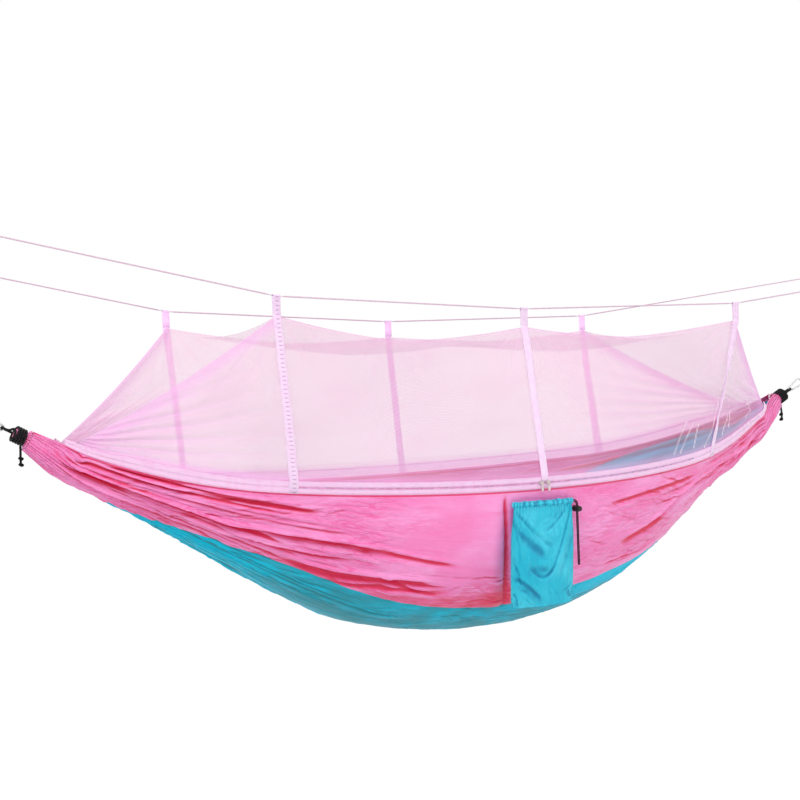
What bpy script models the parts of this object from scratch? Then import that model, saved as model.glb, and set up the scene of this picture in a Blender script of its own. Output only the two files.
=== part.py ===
"""Gathered-end camping hammock with a zipped insect-net canopy on two ridge lines.

Metres, +Z up.  The origin is the bearing point of the left snap hook, +X runs along the
hammock to the right hook, and -Y is the side with the zip and the pouch.
"""

import math

import bmesh
import bpy
import numpy as np
from mathutils import Matrix, Vector

# General clearances
seat_gap = 0.0003
sewn_gap = 0.0004
cut_overrun = 0.002

# Hammock bed
gather_span = 2.30
hang_angle = math.radians(28)
rim_half_width = 0.425
rim_end_half_width = 0.022
rim_drop = 0.170
rim_arc_half_length = 0.60
rim_arc_angle = math.radians(25.7)
rim_plane_tilt = math.radians(10)
bed_depth = 0.54
end_section_depth = 0.021
bed_thickness = 0.0012
section_power = 0.78
section_half_angle = math.radians(73)
gather_half_angle = math.radians(155)
gather_length = 0.16
seam_share = 0.264
fold_count = 7
fold_height = 0.007
fold_end_height = 0.0022
fold_middle_height = 0.0003
panel_length_steps = 24
side_panel_steps = 8
bottom_panel_steps = 12

# Gathered end channel, lashing rope and its eye
channel_length = 0.036
channel_radius = 0.0135
channel_flutes = 7
flute_depth = 0.0009
rope_diameter = 0.006
rope_turn_gap = 0.0006
lashing_turns = 4
lashing_start = 0.007
rope_tail_drop = 0.048

# Snap hook at each end
hook_length = 0.060
hook_wire = 0.005
hook_narrow_radius = 0.006
hook_wide_radius = 0.011
hook_start = 0.064
gate_pivot_ahead = 0.012
gate_nose_ahead = 0.037
tang_thickness = 0.0016
gate_slot_clearance = 0.0003
gate_tip_gap = 0.0009
gate_slot_depth = 0.0042
gate_pin_diameter = 0.0016
gate_pin_stand_out = 0.0005
gate_bore_diameter = 0.003
gate_bore_depth = 0.010
gate_spring_wire = 0.0004
gate_spring_diameter = 0.0022
gate_spring_curls = 4

# Net canopy, straps and ridge lines
net_thickness = 0.001
ridge_spacing = 0.726
strap_spacing = 0.68
strap_offset = 0.025
ridge_left_height = 0.315
ridge_middle_height = 0.275
ridge_right_height = 0.280
ridge_line_diameter = 0.0036
ridge_left_reach = 1.36
ridge_right_reach = 1.66
ridge_left_slope = 0.21
ridge_right_slope = 0.122
loop_height = 0.045
strap_width = 0.020
strap_thickness = 0.0014
strap_free_ply = 0.010
strap_inner_rise = 0.002
net_edge_sag = 0.034
net_edge_pull = 0.022
roof_sag = 0.035
wall_hollow = 0.020
wall_fold_height = 0.005
wall_fold_count = 7
net_apex_inset = 0.095
net_apex_rise = 0.004
tied_loop_length = 0.036
tied_loop_width = 0.016
tied_knot_length = 0.012
tied_knot_diameter = 0.009

# Rim bands and the two-way zip between them
band_thickness = 0.0008
upper_band_height = 0.0125
lower_band_height = 0.0125
band_lap = 0.004
zip_rise = 0.0105
row_spacing = 0.0056
row_diameter = 0.0016
band_end_inset = 0.120
band_end_stand_off = 0.0012
zip_half_length = 0.585
stop_length = 0.004
stop_height = 0.008
stop_thickness = 0.0022

# Zip slider and pull
slider_length = 0.013
slider_height = 0.0084
slider_plate = 0.0012
slider_throat = 0.0026
slider_post = 0.0010
slider_lip_gap = 0.0017
slider_spread = 0.010
bail_height = 0.0042
bail_bar = 0.0014
bail_length = 0.009
pull_ring_radius = 0.0027
pull_ring_wire = 0.0012
pull_grip_length = 0.016
pull_grip_width = 0.0060
pull_grip_thickness = 0.0012

# Stuff pouch
pouch_width = 0.186
pouch_height = 0.250
pouch_depth = 0.030
pouch_wall = 0.001
pouch_offset = 0.018
pouch_drop = 0.040
pouch_lean = 0.020
pouch_mouth_depth = 0.018
pouch_foot_depth = 0.007
pouch_fold_height = 0.0022
pouch_fold_count = 5
hem_radius = 0.0052
hem_ripple = 0.0007
hem_ripple_count = 12

# Drawstring and cord lock
string_diameter = 0.003
strand_spacing = 0.0038
string_tail = 0.150
string_bend_share = 2.25
lock_outer_radius = 0.0080
lock_bore_radius = 0.0053
lock_front = 0.0060
lock_rear = 0.0120
lock_floor = 0.0015
lock_below_hem = 0.006
plunger_clearance = 0.0003
plunger_head_radius = 0.0066
plunger_head_length = 0.0030
plunger_stand_out = 0.0035
plunger_travel = 0.0025
plunger_tail = 0.0032
strand_clearance = 0.0003
lock_spring_wire = 0.0007
lock_spring_radius = 0.0030
lock_spring_curls = 4

half_span = gather_span / 2
pull_axis = Vector((math.cos(hang_angle), 0, math.sin(hang_angle)))
hang_reach = hook_start + hook_length - 1.5 * hook_wire
hang_offset = hang_reach * pull_axis
centre_x = half_span + hang_offset.x
gather_height = -hang_offset.z
arc_radius = rim_arc_half_length / math.sin(rim_arc_angle)
strap_places = tuple(strap_offset + n * strap_spacing for n in (-1, 0, 1))


def smooth_step(value, low, high):
    share = min(1.0, max(0.0, (value - low) / (high - low)))
    return share * share * (3 - 2 * share)


def mix(first, second, share):
    return first + (second - first) * share


def hermite(start, end, start_slope, end_slope, length, share):
    square, cube = share * share, share ** 3
    return (
        (2 * cube - 3 * square + 1) * start
        + (cube - 2 * square + share) * length * start_slope
        + (3 * square - 2 * cube) * end
        + (cube - square) * length * end_slope
    )


def signed_power(value, power):
    return math.copysign(abs(value) ** power, value)


# Materials and object helpers


def material(name, colour, roughness, metallic=0.0, alpha=1.0):
    made = bpy.data.materials.new(name)
    made.use_nodes = True
    shader = made.node_tree.nodes["Principled BSDF"]
    shader.inputs["Base Color"].default_value = (*colour, 1)
    shader.inputs["Roughness"].default_value = roughness
    shader.inputs["Metallic"].default_value = metallic
    shader.inputs["Alpha"].default_value = alpha
    made.diffuse_color = (*colour, alpha)
    return made


def link(obj, finish, parent=None):
    if obj.name not in parts.objects:
        parts.objects.link(obj)
    obj.data.materials.clear()
    obj.data.materials.append(finish)
    obj.parent = parent
    return obj


def smooth(obj, angle=math.radians(40)):
    obj.data.shade_smooth()
    obj.data.set_sharp_from_angle(angle=angle)
    return obj


def mesh_object(name, build_mesh, finish, parent=None):
    mesh = bpy.data.meshes.new(name)
    build_mesh.to_mesh(mesh)
    build_mesh.free()
    return smooth(link(bpy.data.objects.new(name, mesh), finish, parent))


def sheet(name, place, long_steps, cross_steps, thickness, finish):
    """A grid laid out by place(long share, cross share) and given its thickness."""
    shape = bmesh.new()
    bmesh.ops.create_grid(shape, x_segments=long_steps, y_segments=cross_steps, size=0.5)
    for vertex in shape.verts:
        vertex.co = place(vertex.co.x + 0.5, vertex.co.y + 0.5)
    made = mesh_object(name, shape, finish)
    wall = made.modifiers.new("Thickness", "SOLIDIFY")
    wall.thickness = thickness
    wall.offset = 0
    wall.use_quality_normals = True
    return made


def curve_data(name, points, radius, resolution, cyclic=False):
    data = bpy.data.curves.new(name, "CURVE")
    data.dimensions = "3D"
    data.bevel_depth = radius
    data.bevel_resolution = resolution
    data.use_fill_caps = not cyclic
    line = data.splines.new("POLY")
    line.points.add(len(points) - 1)
    for point, place in zip(line.points, points):
        point.co = (*place, 1)
    line.use_cyclic_u = cyclic
    return data


def tube(name, points, radius, finish, resolution=2, cyclic=False, parent=None):
    made = bpy.data.objects.new(name, curve_data(name, points, radius, resolution, cyclic))
    return link(made, finish, parent)


def as_mesh(obj):
    """Turn a curve object into a welded mesh object of the same name and place."""
    name, finish, parent = obj.name, obj.data.materials[0], obj.parent
    graph = bpy.context.evaluated_depsgraph_get()
    mesh = bpy.data.meshes.new_from_object(obj.evaluated_get(graph))
    matrix, local = obj.matrix_world.copy(), obj.matrix_local.copy()
    data = obj.data
    bpy.data.objects.remove(obj)
    bpy.data.curves.remove(data)
    shape = bmesh.new()
    shape.from_mesh(mesh)
    bmesh.ops.remove_doubles(shape, verts=shape.verts, dist=1e-6)
    bmesh.ops.recalc_face_normals(shape, faces=shape.faces)
    shape.to_mesh(mesh)
    shape.free()
    made = bpy.data.objects.new(name, mesh)
    made.matrix_world = matrix if parent is None else local
    return smooth(link(made, finish, parent))


def in_triangles(obj):
    """Split the skew faces of a long bent tube, so that they are the same in every file."""
    obj.modifiers.new("Triangles", "TRIANGULATE")
    return obj


def outline(name, points, half_thickness, finish, parent=None, bevel=0.0):
    """A flat plate in its own XY plane, cut to a closed outline."""
    data = bpy.data.curves.new(name, "CURVE")
    data.dimensions = "2D"
    data.fill_mode = "BOTH"
    data.extrude = half_thickness
    line = data.splines.new("POLY")
    line.points.add(len(points) - 1)
    for point, place in zip(line.points, points):
        point.co = (place[0], place[1], 0, 1)
    line.use_cyclic_u = True
    made = as_mesh(link(bpy.data.objects.new(name, data), finish, parent))
    if bevel:
        edge = made.modifiers.new("Edges", "BEVEL")
        edge.width = bevel
        edge.segments = 1
        edge.limit_method = "ANGLE"
    return made


def cylinder(name, radius, start, end, finish, sides=20, parent=None):
    """A round bar between two points."""
    start, end = Vector(start), Vector(end)
    shape = bmesh.new()
    bmesh.ops.create_cone(
        shape, cap_ends=True, segments=sides, radius1=radius, radius2=radius, depth=(end - start).length
    )
    turn = Vector((0, 0, 1)).rotation_difference(end - start).to_matrix().to_4x4()
    bmesh.ops.transform(shape, matrix=Matrix.Translation((start + end) / 2) @ turn, verts=shape.verts)
    return mesh_object(name, shape, finish, parent)


def box(name, low, high, finish, parent=None, turn=None, pivot=(0, 0, 0)):
    shape = bmesh.new()
    bmesh.ops.create_cube(shape, size=1)
    low, high = Vector(low), Vector(high)
    for vertex in shape.verts:
        vertex.co = (low + high) / 2 + Vector(a * b for a, b in zip(vertex.co, high - low))
    if turn is not None:
        pivot = Vector(pivot)
        for vertex in shape.verts:
            vertex.co = pivot + turn @ (vertex.co - pivot)
    return mesh_object(name, shape, finish, parent)


def as_cutter(obj):
    parts.objects.unlink(obj)
    cutters.objects.link(obj)
    obj.hide_render = True
    obj.display_type = "WIRE"
    return obj


def cut(obj, cutter, operation="DIFFERENCE"):
    boolean = obj.modifiers.new(cutter.name, "BOOLEAN")
    boolean.operation = operation
    boolean.object = as_cutter(cutter)
    boolean.solver = "EXACT"
    return obj


def smooth_path(points, per_stretch):
    """Points read from a smooth curve through the given ones."""
    knots = [Vector(point) for point in points]
    knots = [2 * knots[0] - knots[1]] + knots + [2 * knots[-1] - knots[-2]]
    path = []
    for before, start, end, after in zip(knots, knots[1:], knots[2:], knots[3:]):
        for step in range(per_stretch):
            share = step / per_stretch
            path.append(
                0.5
                * (
                    2 * start
                    + (end - before) * share
                    + (2 * before - 5 * start + 4 * end - after) * share ** 2
                    + (3 * start - before - 3 * end + after) * share ** 3
                )
            )
    return path + [knots[-2]]


def least_gap(points, diameter, apart):
    """The least clear space of a tube to itself, between stretches at least apart along it."""
    places = np.array([tuple(point) for point in points])
    steps = np.linalg.norm(np.diff(places, axis=0), axis=1)
    finer, along = [], []
    for first, second, begin, length in zip(places, places[1:], np.cumsum(steps) - steps, steps):
        for share in (0.0, 0.25, 0.5, 0.75):
            finer.append(first + (second - first) * share)
            along.append(begin + length * share)
    finer, along = np.array(finer), np.array(along)
    distance = np.linalg.norm(finer[:, None] - finer[None], axis=2)
    distance[np.abs(along[:, None] - along[None]) < apart] = np.inf
    return distance.min() - diameter


# The bed's surface.  Stations run from -half_span to half_span along the hammock, and a
# girth share of 0 is the near rim, 0.5 the keel and 1 the far rim.


def bed_half_width(station):
    reach = abs(station)
    if reach <= rim_arc_half_length:
        in_plane = arc_radius - math.sqrt(arc_radius ** 2 - reach ** 2)
        return rim_half_width - in_plane * math.cos(rim_plane_tilt)
    length = half_span - rim_arc_half_length
    start = rim_half_width - arc_radius * (1 - math.cos(rim_arc_angle)) * math.cos(rim_plane_tilt)
    slope = -math.tan(rim_arc_angle) * math.cos(rim_plane_tilt)
    end_slope = slope * 0.9
    return hermite(start, rim_end_half_width, slope, end_slope, length, (reach - rim_arc_half_length) / length)


def keel_height(station):
    return -end_section_depth - bed_depth * (1 - (station / half_span) ** 2)


def rim_height(station):
    reach = abs(station)
    if reach <= rim_arc_half_length:
        in_plane = arc_radius - math.sqrt(arc_radius ** 2 - reach ** 2)
        return -rim_drop + in_plane * math.sin(rim_plane_tilt)
    length = half_span - rim_arc_half_length
    start = -rim_drop + arc_radius * (1 - math.cos(rim_arc_angle)) * math.sin(rim_plane_tilt)
    slope = math.tan(rim_arc_angle) * math.sin(rim_plane_tilt)
    end_slope = math.tan(hang_angle)
    share = (reach - rim_arc_half_length) / length
    end = -end_section_depth * signed_power(math.cos(gather_half_angle), section_power)
    return hermite(start, end, slope, end_slope, length, share)


def half_angle(station):
    closing = smooth_step(abs(station), half_span - gather_length, half_span)
    return mix(section_half_angle, gather_half_angle, closing)


def section_depth(station):
    """How far the keel lies below the widest place of the section, so that it ends at the rims."""
    rise = rim_height(station) - keel_height(station)
    return rise / (1 - signed_power(math.cos(half_angle(station)), section_power))


def fold_depth(station):
    reach = abs(station) / half_span
    rising = mix(fold_middle_height, fold_height, smooth_step(reach, 0.25, 0.75))
    return mix(rising, fold_end_height, smooth_step(reach, 0.8, 1.0))


def calm_bed_point(station, girth_share):
    """The bed without its folds, measured from the middle of the hammock."""
    wide = bed_half_width(station) / math.sin(section_half_angle) ** section_power
    deep = section_depth(station)
    angle = (2 * girth_share - 1) * half_angle(station)
    side = wide * signed_power(math.sin(angle), section_power)
    level = -deep * signed_power(math.cos(angle), section_power)
    lean = math.tan(hang_angle) * smooth_step(abs(station), half_span - gather_length, half_span)
    along = station - math.copysign(lean * level, station)
    return Vector((along, side, keel_height(station) + deep + level))


def bed_normal(station, girth_share):
    """The unit vector out of the bed, away from the sleeper."""
    step = 1e-3
    stride = step * half_span
    low, high = max(-half_span, station - stride), min(half_span, station + stride)
    along = calm_bed_point(high, girth_share) - calm_bed_point(low, girth_share)
    start, end = max(0.0, girth_share - step), min(1.0, girth_share + step)
    across = calm_bed_point(station, end) - calm_bed_point(station, start)
    return across.cross(along).normalized()


def bed_point(station, girth_share, offset=0.0):
    edge_calm = smooth_step(min(girth_share, 1 - girth_share), 0.0, 0.05)
    ripple = math.sin(2 * math.pi * fold_count * girth_share + 1.3)
    second = 0.4 * math.sin(2 * math.pi * (fold_count + 4) * girth_share + 3 * station / half_span)
    lift = fold_depth(station) * edge_calm * (ripple + second) / 1.4
    return calm_bed_point(station, girth_share) + bed_normal(station, girth_share) * (lift + offset)


def world(point):
    """A place measured from the middle of the gathers, in the frame of the whole part."""
    return Vector((point[0] + centre_x, point[1], point[2] + gather_height))


def even_station(share):
    """Stations from end to end, closer together towards the gathers."""
    spread = 2 * share - 1
    return half_span * (spread * 1.25 - signed_power(spread, 3) * 0.25)


def bed_panel(name, low_share, high_share, steps, finish):
    girth_gap = sewn_gap / 2 / (2 * rim_half_width)

    def place(long_share, cross_share):
        station = even_station(long_share)
        squeeze = rim_half_width / max(bed_half_width(station), rim_end_half_width * 2)
        margin = girth_gap * squeeze ** 1.3
        low = low_share + (margin if low_share > 0 else 0)
        high = high_share - (margin if high_share < 1 else 0)
        return world(bed_point(station, mix(low, high, cross_share)))

    return sheet(name, place, panel_length_steps, steps, bed_thickness, finish)


def bed_parts():
    bed_panel("side_panel_near", 0, seam_share, side_panel_steps, pink)
    bed_panel("bottom_panel", seam_share, 1 - seam_share, bottom_panel_steps, turquoise)
    bed_panel("side_panel_far", 1 - seam_share, 1, side_panel_steps, pink)


# Rims.  Side is -1 for the near rim and 1 for the far one.


def rim_point(station, side):
    return calm_bed_point(station, 0 if side < 0 else 1)


def rim_up(station, side):
    share = 0 if side < 0 else 1
    inner = rim_point(station, side) - calm_bed_point(station, abs(share - 0.01))
    plane_up = Vector((0, side * math.sin(rim_plane_tilt), math.cos(rim_plane_tilt)))
    leaving = smooth_step(abs(station), rim_arc_half_length, 0.8 * half_span)
    return mix(plane_up, inner.normalized(), leaving).normalized()


def rim_out(station, side):
    reach = min(abs(station), rim_arc_half_length)
    angle = math.copysign(math.asin(reach / arc_radius), station)
    outward = Vector(
        (
            math.sin(angle),
            side * math.cos(angle) * math.cos(rim_plane_tilt),
            -math.cos(angle) * math.sin(rim_plane_tilt),
        )
    )
    leaving = smooth_step(abs(station), rim_arc_half_length, 0.8 * half_span)
    return mix(outward, bed_normal(station, 0 if side < 0 else 1), leaving).normalized()


band_seat = bed_thickness / 2 + seat_gap + sewn_gap / 2 + band_thickness / 2
upper_band_top = zip_rise + row_spacing / 2 + upper_band_height
net_foot_height = upper_band_top - band_lap
zip_end = zip_half_length + stop_length + 2 * seat_gap
net_leaving_height = upper_band_top + 2 * seat_gap


def end_taper(station):
    return mix(1.0, 0.6, smooth_step(abs(station), 0.78 * half_span, half_span - band_end_inset))


def band_point(station, side, height, offset=band_seat):
    drawn_in = height * end_taper(station)
    if offset > 0:
        offset += band_end_stand_off * smooth_step(abs(station), rim_arc_half_length, 0.8 * half_span)
    return rim_point(station, side) + rim_up(station, side) * drawn_in + rim_out(station, side) * offset


def rim_stations():
    """Even steps along the zip, then along each end to where the band stops."""
    arc_steps, end_steps = 26, 8
    band_reach = half_span - band_end_inset
    turn = math.asin(zip_end / arc_radius)
    arc = [arc_radius * math.sin(turn * (2 * step / arc_steps - 1)) for step in range(arc_steps + 1)]
    end = [mix(zip_end, band_reach, step / end_steps) for step in range(1, end_steps + 1)]
    return [-place for place in reversed(end)] + arc + end


def band(name, side, low_height, high_height):
    stations = rim_stations()

    def place(long_share, cross_share):
        station = stations[round(long_share * (len(stations) - 1))]
        height = mix(low_height(station), high_height(station), cross_share)
        return world(band_point(station, side, height))

    return sheet(name, place, len(stations) - 1, 1, band_thickness, pale_webbing)


def tape_gap(station):
    """Half the space between the two tapes: open along the zip and sewn shut past it."""
    past = smooth_step(abs(station), zip_end, zip_end + upper_band_height)
    return mix(row_spacing / 2, sewn_gap / 2, past)


def zip_row(name, direction):
    height = zip_rise + direction * (row_spacing / 2 - row_diameter / 2 - seat_gap)
    reach = math.asin(zip_half_length / arc_radius)
    steps = 26
    places = [
        world(band_point(arc_radius * math.sin(reach * (2 * step / steps - 1)), -1, height))
        for step in range(steps + 1)
    ]
    tube(name, places, row_diameter / 2, zip_plastic, resolution=1)


def zip_stop(name, direction):
    """A clamp across both rows, just past their ends."""
    start = math.asin(zip_half_length / arc_radius) + seat_gap / arc_radius
    end = start + stop_length / arc_radius
    radius = arc_radius + band_seat
    low = Vector((-stop_length / 2, -stop_thickness / 2, -stop_height / 2))
    made = box(name, low, -low, zip_plastic, zip_axis)
    middle = direction * (start + end) / 2
    made.location = (radius * math.sin(middle), -radius * math.cos(middle), zip_rise)
    made.rotation_euler.z = middle
    slot_half = band_thickness / 2 + seat_gap
    for sign in (-1, 1):
        low = Vector((-stop_length, -slot_half, sign * row_spacing / 2 - sign * seat_gap * 2))
        high = Vector((stop_length, slot_half, sign * stop_height))
        corners = (Vector(map(min, low, high)), Vector(map(max, low, high)))
        cutter = box(f"{name}_tape_slot_{sign}", *corners, zip_plastic, zip_axis)
        cutter.location = made.location
        cutter.rotation_euler.z = middle
        cut(made, cutter)


def rim_parts():
    band("rim_band_upper_near", -1, lambda u: zip_rise + tape_gap(u), lambda u: upper_band_top)
    band(
        "rim_band_lower_near",
        -1,
        lambda u: zip_rise - row_spacing / 2 - lower_band_height,
        lambda u: zip_rise - tape_gap(u),
    )
    low_edge = zip_rise - row_spacing / 2 - lower_band_height
    band("rim_band_far", 1, lambda u: low_edge, lambda u: upper_band_top)
    zip_row("zip_row_upper", 1)
    zip_row("zip_row_lower", -1)
    zip_stop("zip_stop_left", -1)
    zip_stop("zip_stop_right", 1)


# Zip sliders, each turning about the axis of the rim's arc


def slider_outline():
    """Two plates with lips over the rows, joined by the post that parts them."""
    plate_in = slider_throat / 2
    plate_out = plate_in + slider_plate
    high = slider_height / 2
    lip = slider_lip_gap / 2
    lip_low = high - slider_plate
    post = slider_post / 2
    quarter = [(plate_in, post), (plate_in, lip_low), (lip, lip_low), (lip, high), (plate_out, high)]
    right = quarter + [(n, -k) for n, k in reversed(quarter)]
    left = [(-n, -k) for n, k in right]
    return right + left


def zip_slider(side, place):
    name = f"zip_slider_{side}"
    angle = math.asin((strap_offset + place) / arc_radius)
    front = slider_throat / 2 + slider_plate
    radius = arc_radius + band_seat
    body = outline(name, slider_outline(), slider_length / 2, steel, zip_axis)
    # The outline's own X is outward, its Y up and its Z back along the zip.
    frame = Matrix(((0, 0, -1), (-1, 0, 0), (0, 1, 0))).to_4x4()
    body.data.transform(Matrix.Translation((0, -radius, zip_rise)) @ frame)
    bail = [
        (-bail_length / 2, -radius - front + bail_bar, zip_rise),
        (-bail_length / 2, -radius - front - 0.6 * bail_height, zip_rise),
        (-0.3 * bail_length, -radius - front - bail_height, zip_rise),
        (0.3 * bail_length, -radius - front - bail_height, zip_rise),
        (bail_length / 2, -radius - front - 0.6 * bail_height, zip_rise),
        (bail_length / 2, -radius - front + bail_bar, zip_rise),
    ]
    loop = as_mesh(tube(f"{name}_bail", bail, bail_bar / 2, steel, resolution=1, parent=zip_axis))
    for piece in (body, loop):
        piece.rotation_euler.z = angle
    cut(body, loop, "UNION")

    hinge = empty(f"zip_pull_{side}_axis", zip_axis)
    reach = radius + front + bail_height
    hinge.location = (reach * math.sin(angle), -reach * math.cos(angle), zip_rise)
    hinge.rotation_euler = (-rim_plane_tilt, 0, 0)
    ring_centre = -(pull_ring_radius - pull_ring_wire / 2 - bail_bar / 2 - seat_gap)
    ring = [
        (0, pull_ring_radius * math.sin(turn), ring_centre + pull_ring_radius * math.cos(turn))
        for turn in (2 * math.pi * step / 14 for step in range(14))
    ]
    pull = as_mesh(
        tube(f"zip_pull_{side}", ring, pull_ring_wire / 2, steel, resolution=1, cyclic=True, parent=hinge)
    )
    top = ring_centre - pull_ring_radius + pull_ring_wire / 4
    half_top, half_foot = 0.6 * pull_grip_width / 2, pull_grip_width / 2
    shape = [
        (-half_top, top),
        (-half_foot, top - 0.3 * pull_grip_length),
        (-half_foot, top - 0.85 * pull_grip_length),
        (-half_top, top - pull_grip_length),
        (half_top, top - pull_grip_length),
        (half_foot, top - 0.85 * pull_grip_length),
        (half_foot, top - 0.3 * pull_grip_length),
        (half_top, top),
    ]
    grip = outline(f"zip_pull_{side}_grip", shape, pull_grip_thickness / 2, steel, hinge)
    grip.data.transform(Matrix.Rotation(math.pi / 2, 4, "X"))
    cut(pull, grip, "UNION")


# Net canopy


def line_height(station):
    """Height of both ridge lines, which the loops pull down into shallow bends."""
    left, middle, right = strap_places
    if station < left:
        return ridge_left_height + (left - station) * ridge_left_slope
    if station > right:
        return ridge_right_height + (station - right) * ridge_right_slope
    if station < middle:
        return mix(ridge_left_height, ridge_middle_height, (station - left) / (middle - left))
    return mix(ridge_middle_height, ridge_right_height, (station - middle) / (right - middle))


strap_seat = (net_thickness / 2 + seat_gap + strap_thickness / 2) / math.cos(rim_arc_angle) ** 2
ply_offset = (strap_thickness + sewn_gap) / 2
wall_top_reach = ridge_spacing / 2 + ply_offset - strap_seat
apex_station = half_span - net_apex_inset


def strap_share(station):
    """0 at each strap and 1 midway between two of them."""
    left, middle, right = strap_places
    start, end = (left, middle) if station < middle else (middle, right)
    share = min(1.0, max(0.0, (station - start) / (end - start)))
    return 4 * share * (1 - share)


def apex_point(direction, side):
    return band_point(direction * apex_station, side, net_foot_height, 0) + Vector((0, 0, net_apex_rise))


def wall_top(station, side):
    left, middle, right = strap_places
    if left <= station <= right:
        slack = strap_share(station)
        reach = wall_top_reach - net_edge_pull * slack
        return Vector((station, side * reach, line_height(station) - loop_height - net_edge_sag * slack))
    corner_station = left if station < left else right
    direction = math.copysign(1, station)
    corner = Vector((corner_station, side * wall_top_reach, line_height(corner_station) - loop_height))
    apex = apex_point(direction, side)
    share = min(1.0, (station - corner_station) / (direction * apex_station - corner_station))
    return mix(corner, apex, share) - Vector((0, 0, 0.4 * net_edge_sag * 4 * share * (1 - share)))


def wall_point(station, side, drop_share):
    """A point of a wall above the rim band."""
    top = wall_top(station, side)
    foot = band_point(station, side, net_leaving_height, 0)
    left, _, right = strap_places
    if left <= station <= right:
        slack = strap_share(station)
    else:
        corner = left if station < left else right
        share = min(1.0, (station - corner) / (math.copysign(apex_station, station) - corner))
        slack = 2.2 * share * (1 - share)
    height_share = (top - foot).length / (ridge_left_height + rim_drop)
    belly = math.sin(math.pi * drop_share) * slack
    fold = math.sin(2 * math.pi * wall_fold_count * station / gather_span + 2 * drop_share)
    inward = belly * height_share * (wall_hollow + wall_fold_height * fold)
    return mix(top, foot, drop_share) - Vector((0, side * inward, 0))


def canopy_stations():
    left, middle, right = strap_places
    ends, spans = 6, 8
    stations = [mix(-apex_station, left, step / ends) for step in range(ends)]
    stations += [mix(left, middle, step / spans) for step in range(spans)]
    stations += [mix(middle, right, step / spans) for step in range(spans)]
    stations += [mix(right, apex_station, step / ends) for step in range(ends + 1)]
    return stations, ends, spans


def canopy_sheet(name, stations, cross_steps, point):
    def place(long_share, cross_share):
        return world(point(stations[round(long_share * (len(stations) - 1))], cross_share))

    return sheet(name, place, len(stations) - 1, cross_steps, net_thickness, net)


def top_sheet_point(station, cross_share):
    """The roof and the two ends, hung between the top edges of the walls."""
    inset = net_thickness / 2 + 2 * sewn_gap
    across = 2 * cross_share - 1
    near, far = wall_top(station, -1), wall_top(station, 1)
    near.y += inset
    far.y -= inset
    span_share = (far.y - near.y) / ridge_spacing
    sag = roof_sag * span_share * (1 - across ** 2)
    return mix(near, far, cross_share) - Vector((0, 0, sag))


def canopy_parts():
    stations, ends, spans = canopy_stations()
    wall_rows = 5
    for side, name in ((-1, "net_wall_near"), (1, "net_wall_far")):

        def wall(station, cross_share, side=side):
            row = round(cross_share * (wall_rows + 1))
            if row > wall_rows:
                return band_point(station, side, net_foot_height, 0)
            return wall_point(station, side, row / wall_rows)

        canopy_sheet(name, stations, wall_rows + 1, wall)
    roof = stations[ends : ends + 2 * spans + 1]
    left, right = roof[0], roof[-1]
    roof = [left + sewn_gap] + roof[1:-1] + [right - sewn_gap]
    canopy_sheet("net_roof", roof, 5, top_sheet_point)
    left_end = stations[:ends] + [left - sewn_gap]
    right_end = [right + sewn_gap] + stations[ends + 2 * spans + 1 :]
    canopy_sheet("net_end_left", left_end, 6, top_sheet_point)
    canopy_sheet("net_end_right", right_end, 6, top_sheet_point)


def strap_column(station, column, side, foot_height):
    """One edge or the middle of a strap, from the end of its inner ply down to its foot."""
    loop_radius = ridge_line_diameter / 2 + 2 * seat_gap + strap_thickness / 2
    reach = ridge_spacing / 2
    line = line_height(column)
    neck = line - loop_radius - strap_free_ply
    corner = line_height(station) - loop_height
    points = [
        Vector((column, side * (reach - ply_offset), corner + strap_inner_rise)),
        Vector((column, side * (reach - ply_offset), neck)),
    ]
    for angle in (-45, -10, 25, 60, 90, 120, 155, 190, 225):
        turn = math.radians(angle)
        inward = loop_radius * math.cos(turn)
        points.append(Vector((column, side * (reach - inward), line + loop_radius * math.sin(turn))))
    points.append(Vector((column, side * (reach + ply_offset), neck)))
    band_face = band_seat + band_thickness / 2 + seat_gap + strap_thickness / 2
    top = Vector((column, side * wall_top_reach, corner))
    foot = band_point(column, side, net_leaving_height, 0)
    for share in (0, 0.2, 0.4, 0.6, 0.8, 0.94):
        near_foot = smooth_step(share, 0.75, 1.0)
        beside_net = Vector((0, side * strap_seat, 0)) * (1 - near_foot)
        points.append(mix(top, foot, share) + beside_net + rim_out(column, side) * (band_face * near_foot))
    points.append(band_point(column, side, upper_band_top, band_face))
    points.append(band_point(column, side, foot_height, band_face))
    return points


def strap(name, station, side, crosses_zip):
    """Webbing from the rim up the wall, over the ridge line and down to its own sewn end."""
    clear_of_zip = zip_rise + slider_height / 2 + 2 * seat_gap
    low_edge = zip_rise - row_spacing / 2 - lower_band_height
    foot_height = clear_of_zip if crosses_zip else low_edge
    columns = [
        strap_column(station, station + share * strap_width, side, foot_height) for share in (-0.5, 0, 0.5)
    ]
    last = len(columns[0]) - 1

    def place(long_share, cross_share):
        return world(columns[round(2 * cross_share)][round(last * long_share)])

    return sheet(name, place, last, 2, strap_thickness, pale_webbing)


def ridge_route(side):
    """Hand-chosen stations of a ridge line, straight through each loop."""
    left, middle, right = strap_places
    half = strap_width / 2
    stations = [-ridge_left_reach, -1.12, -0.88]
    for place in strap_places:
        stations += [place - 2.5 * half, place - half, place, place + half, place + 2.5 * half]
        if place != right:
            stations += [place + 0.33 * strap_spacing, place + 0.67 * strap_spacing]
    stations += [0.95, 1.20, 1.43, ridge_right_reach]
    return [Vector((u, side * ridge_spacing / 2, line_height(u))) for u in stations]


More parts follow.
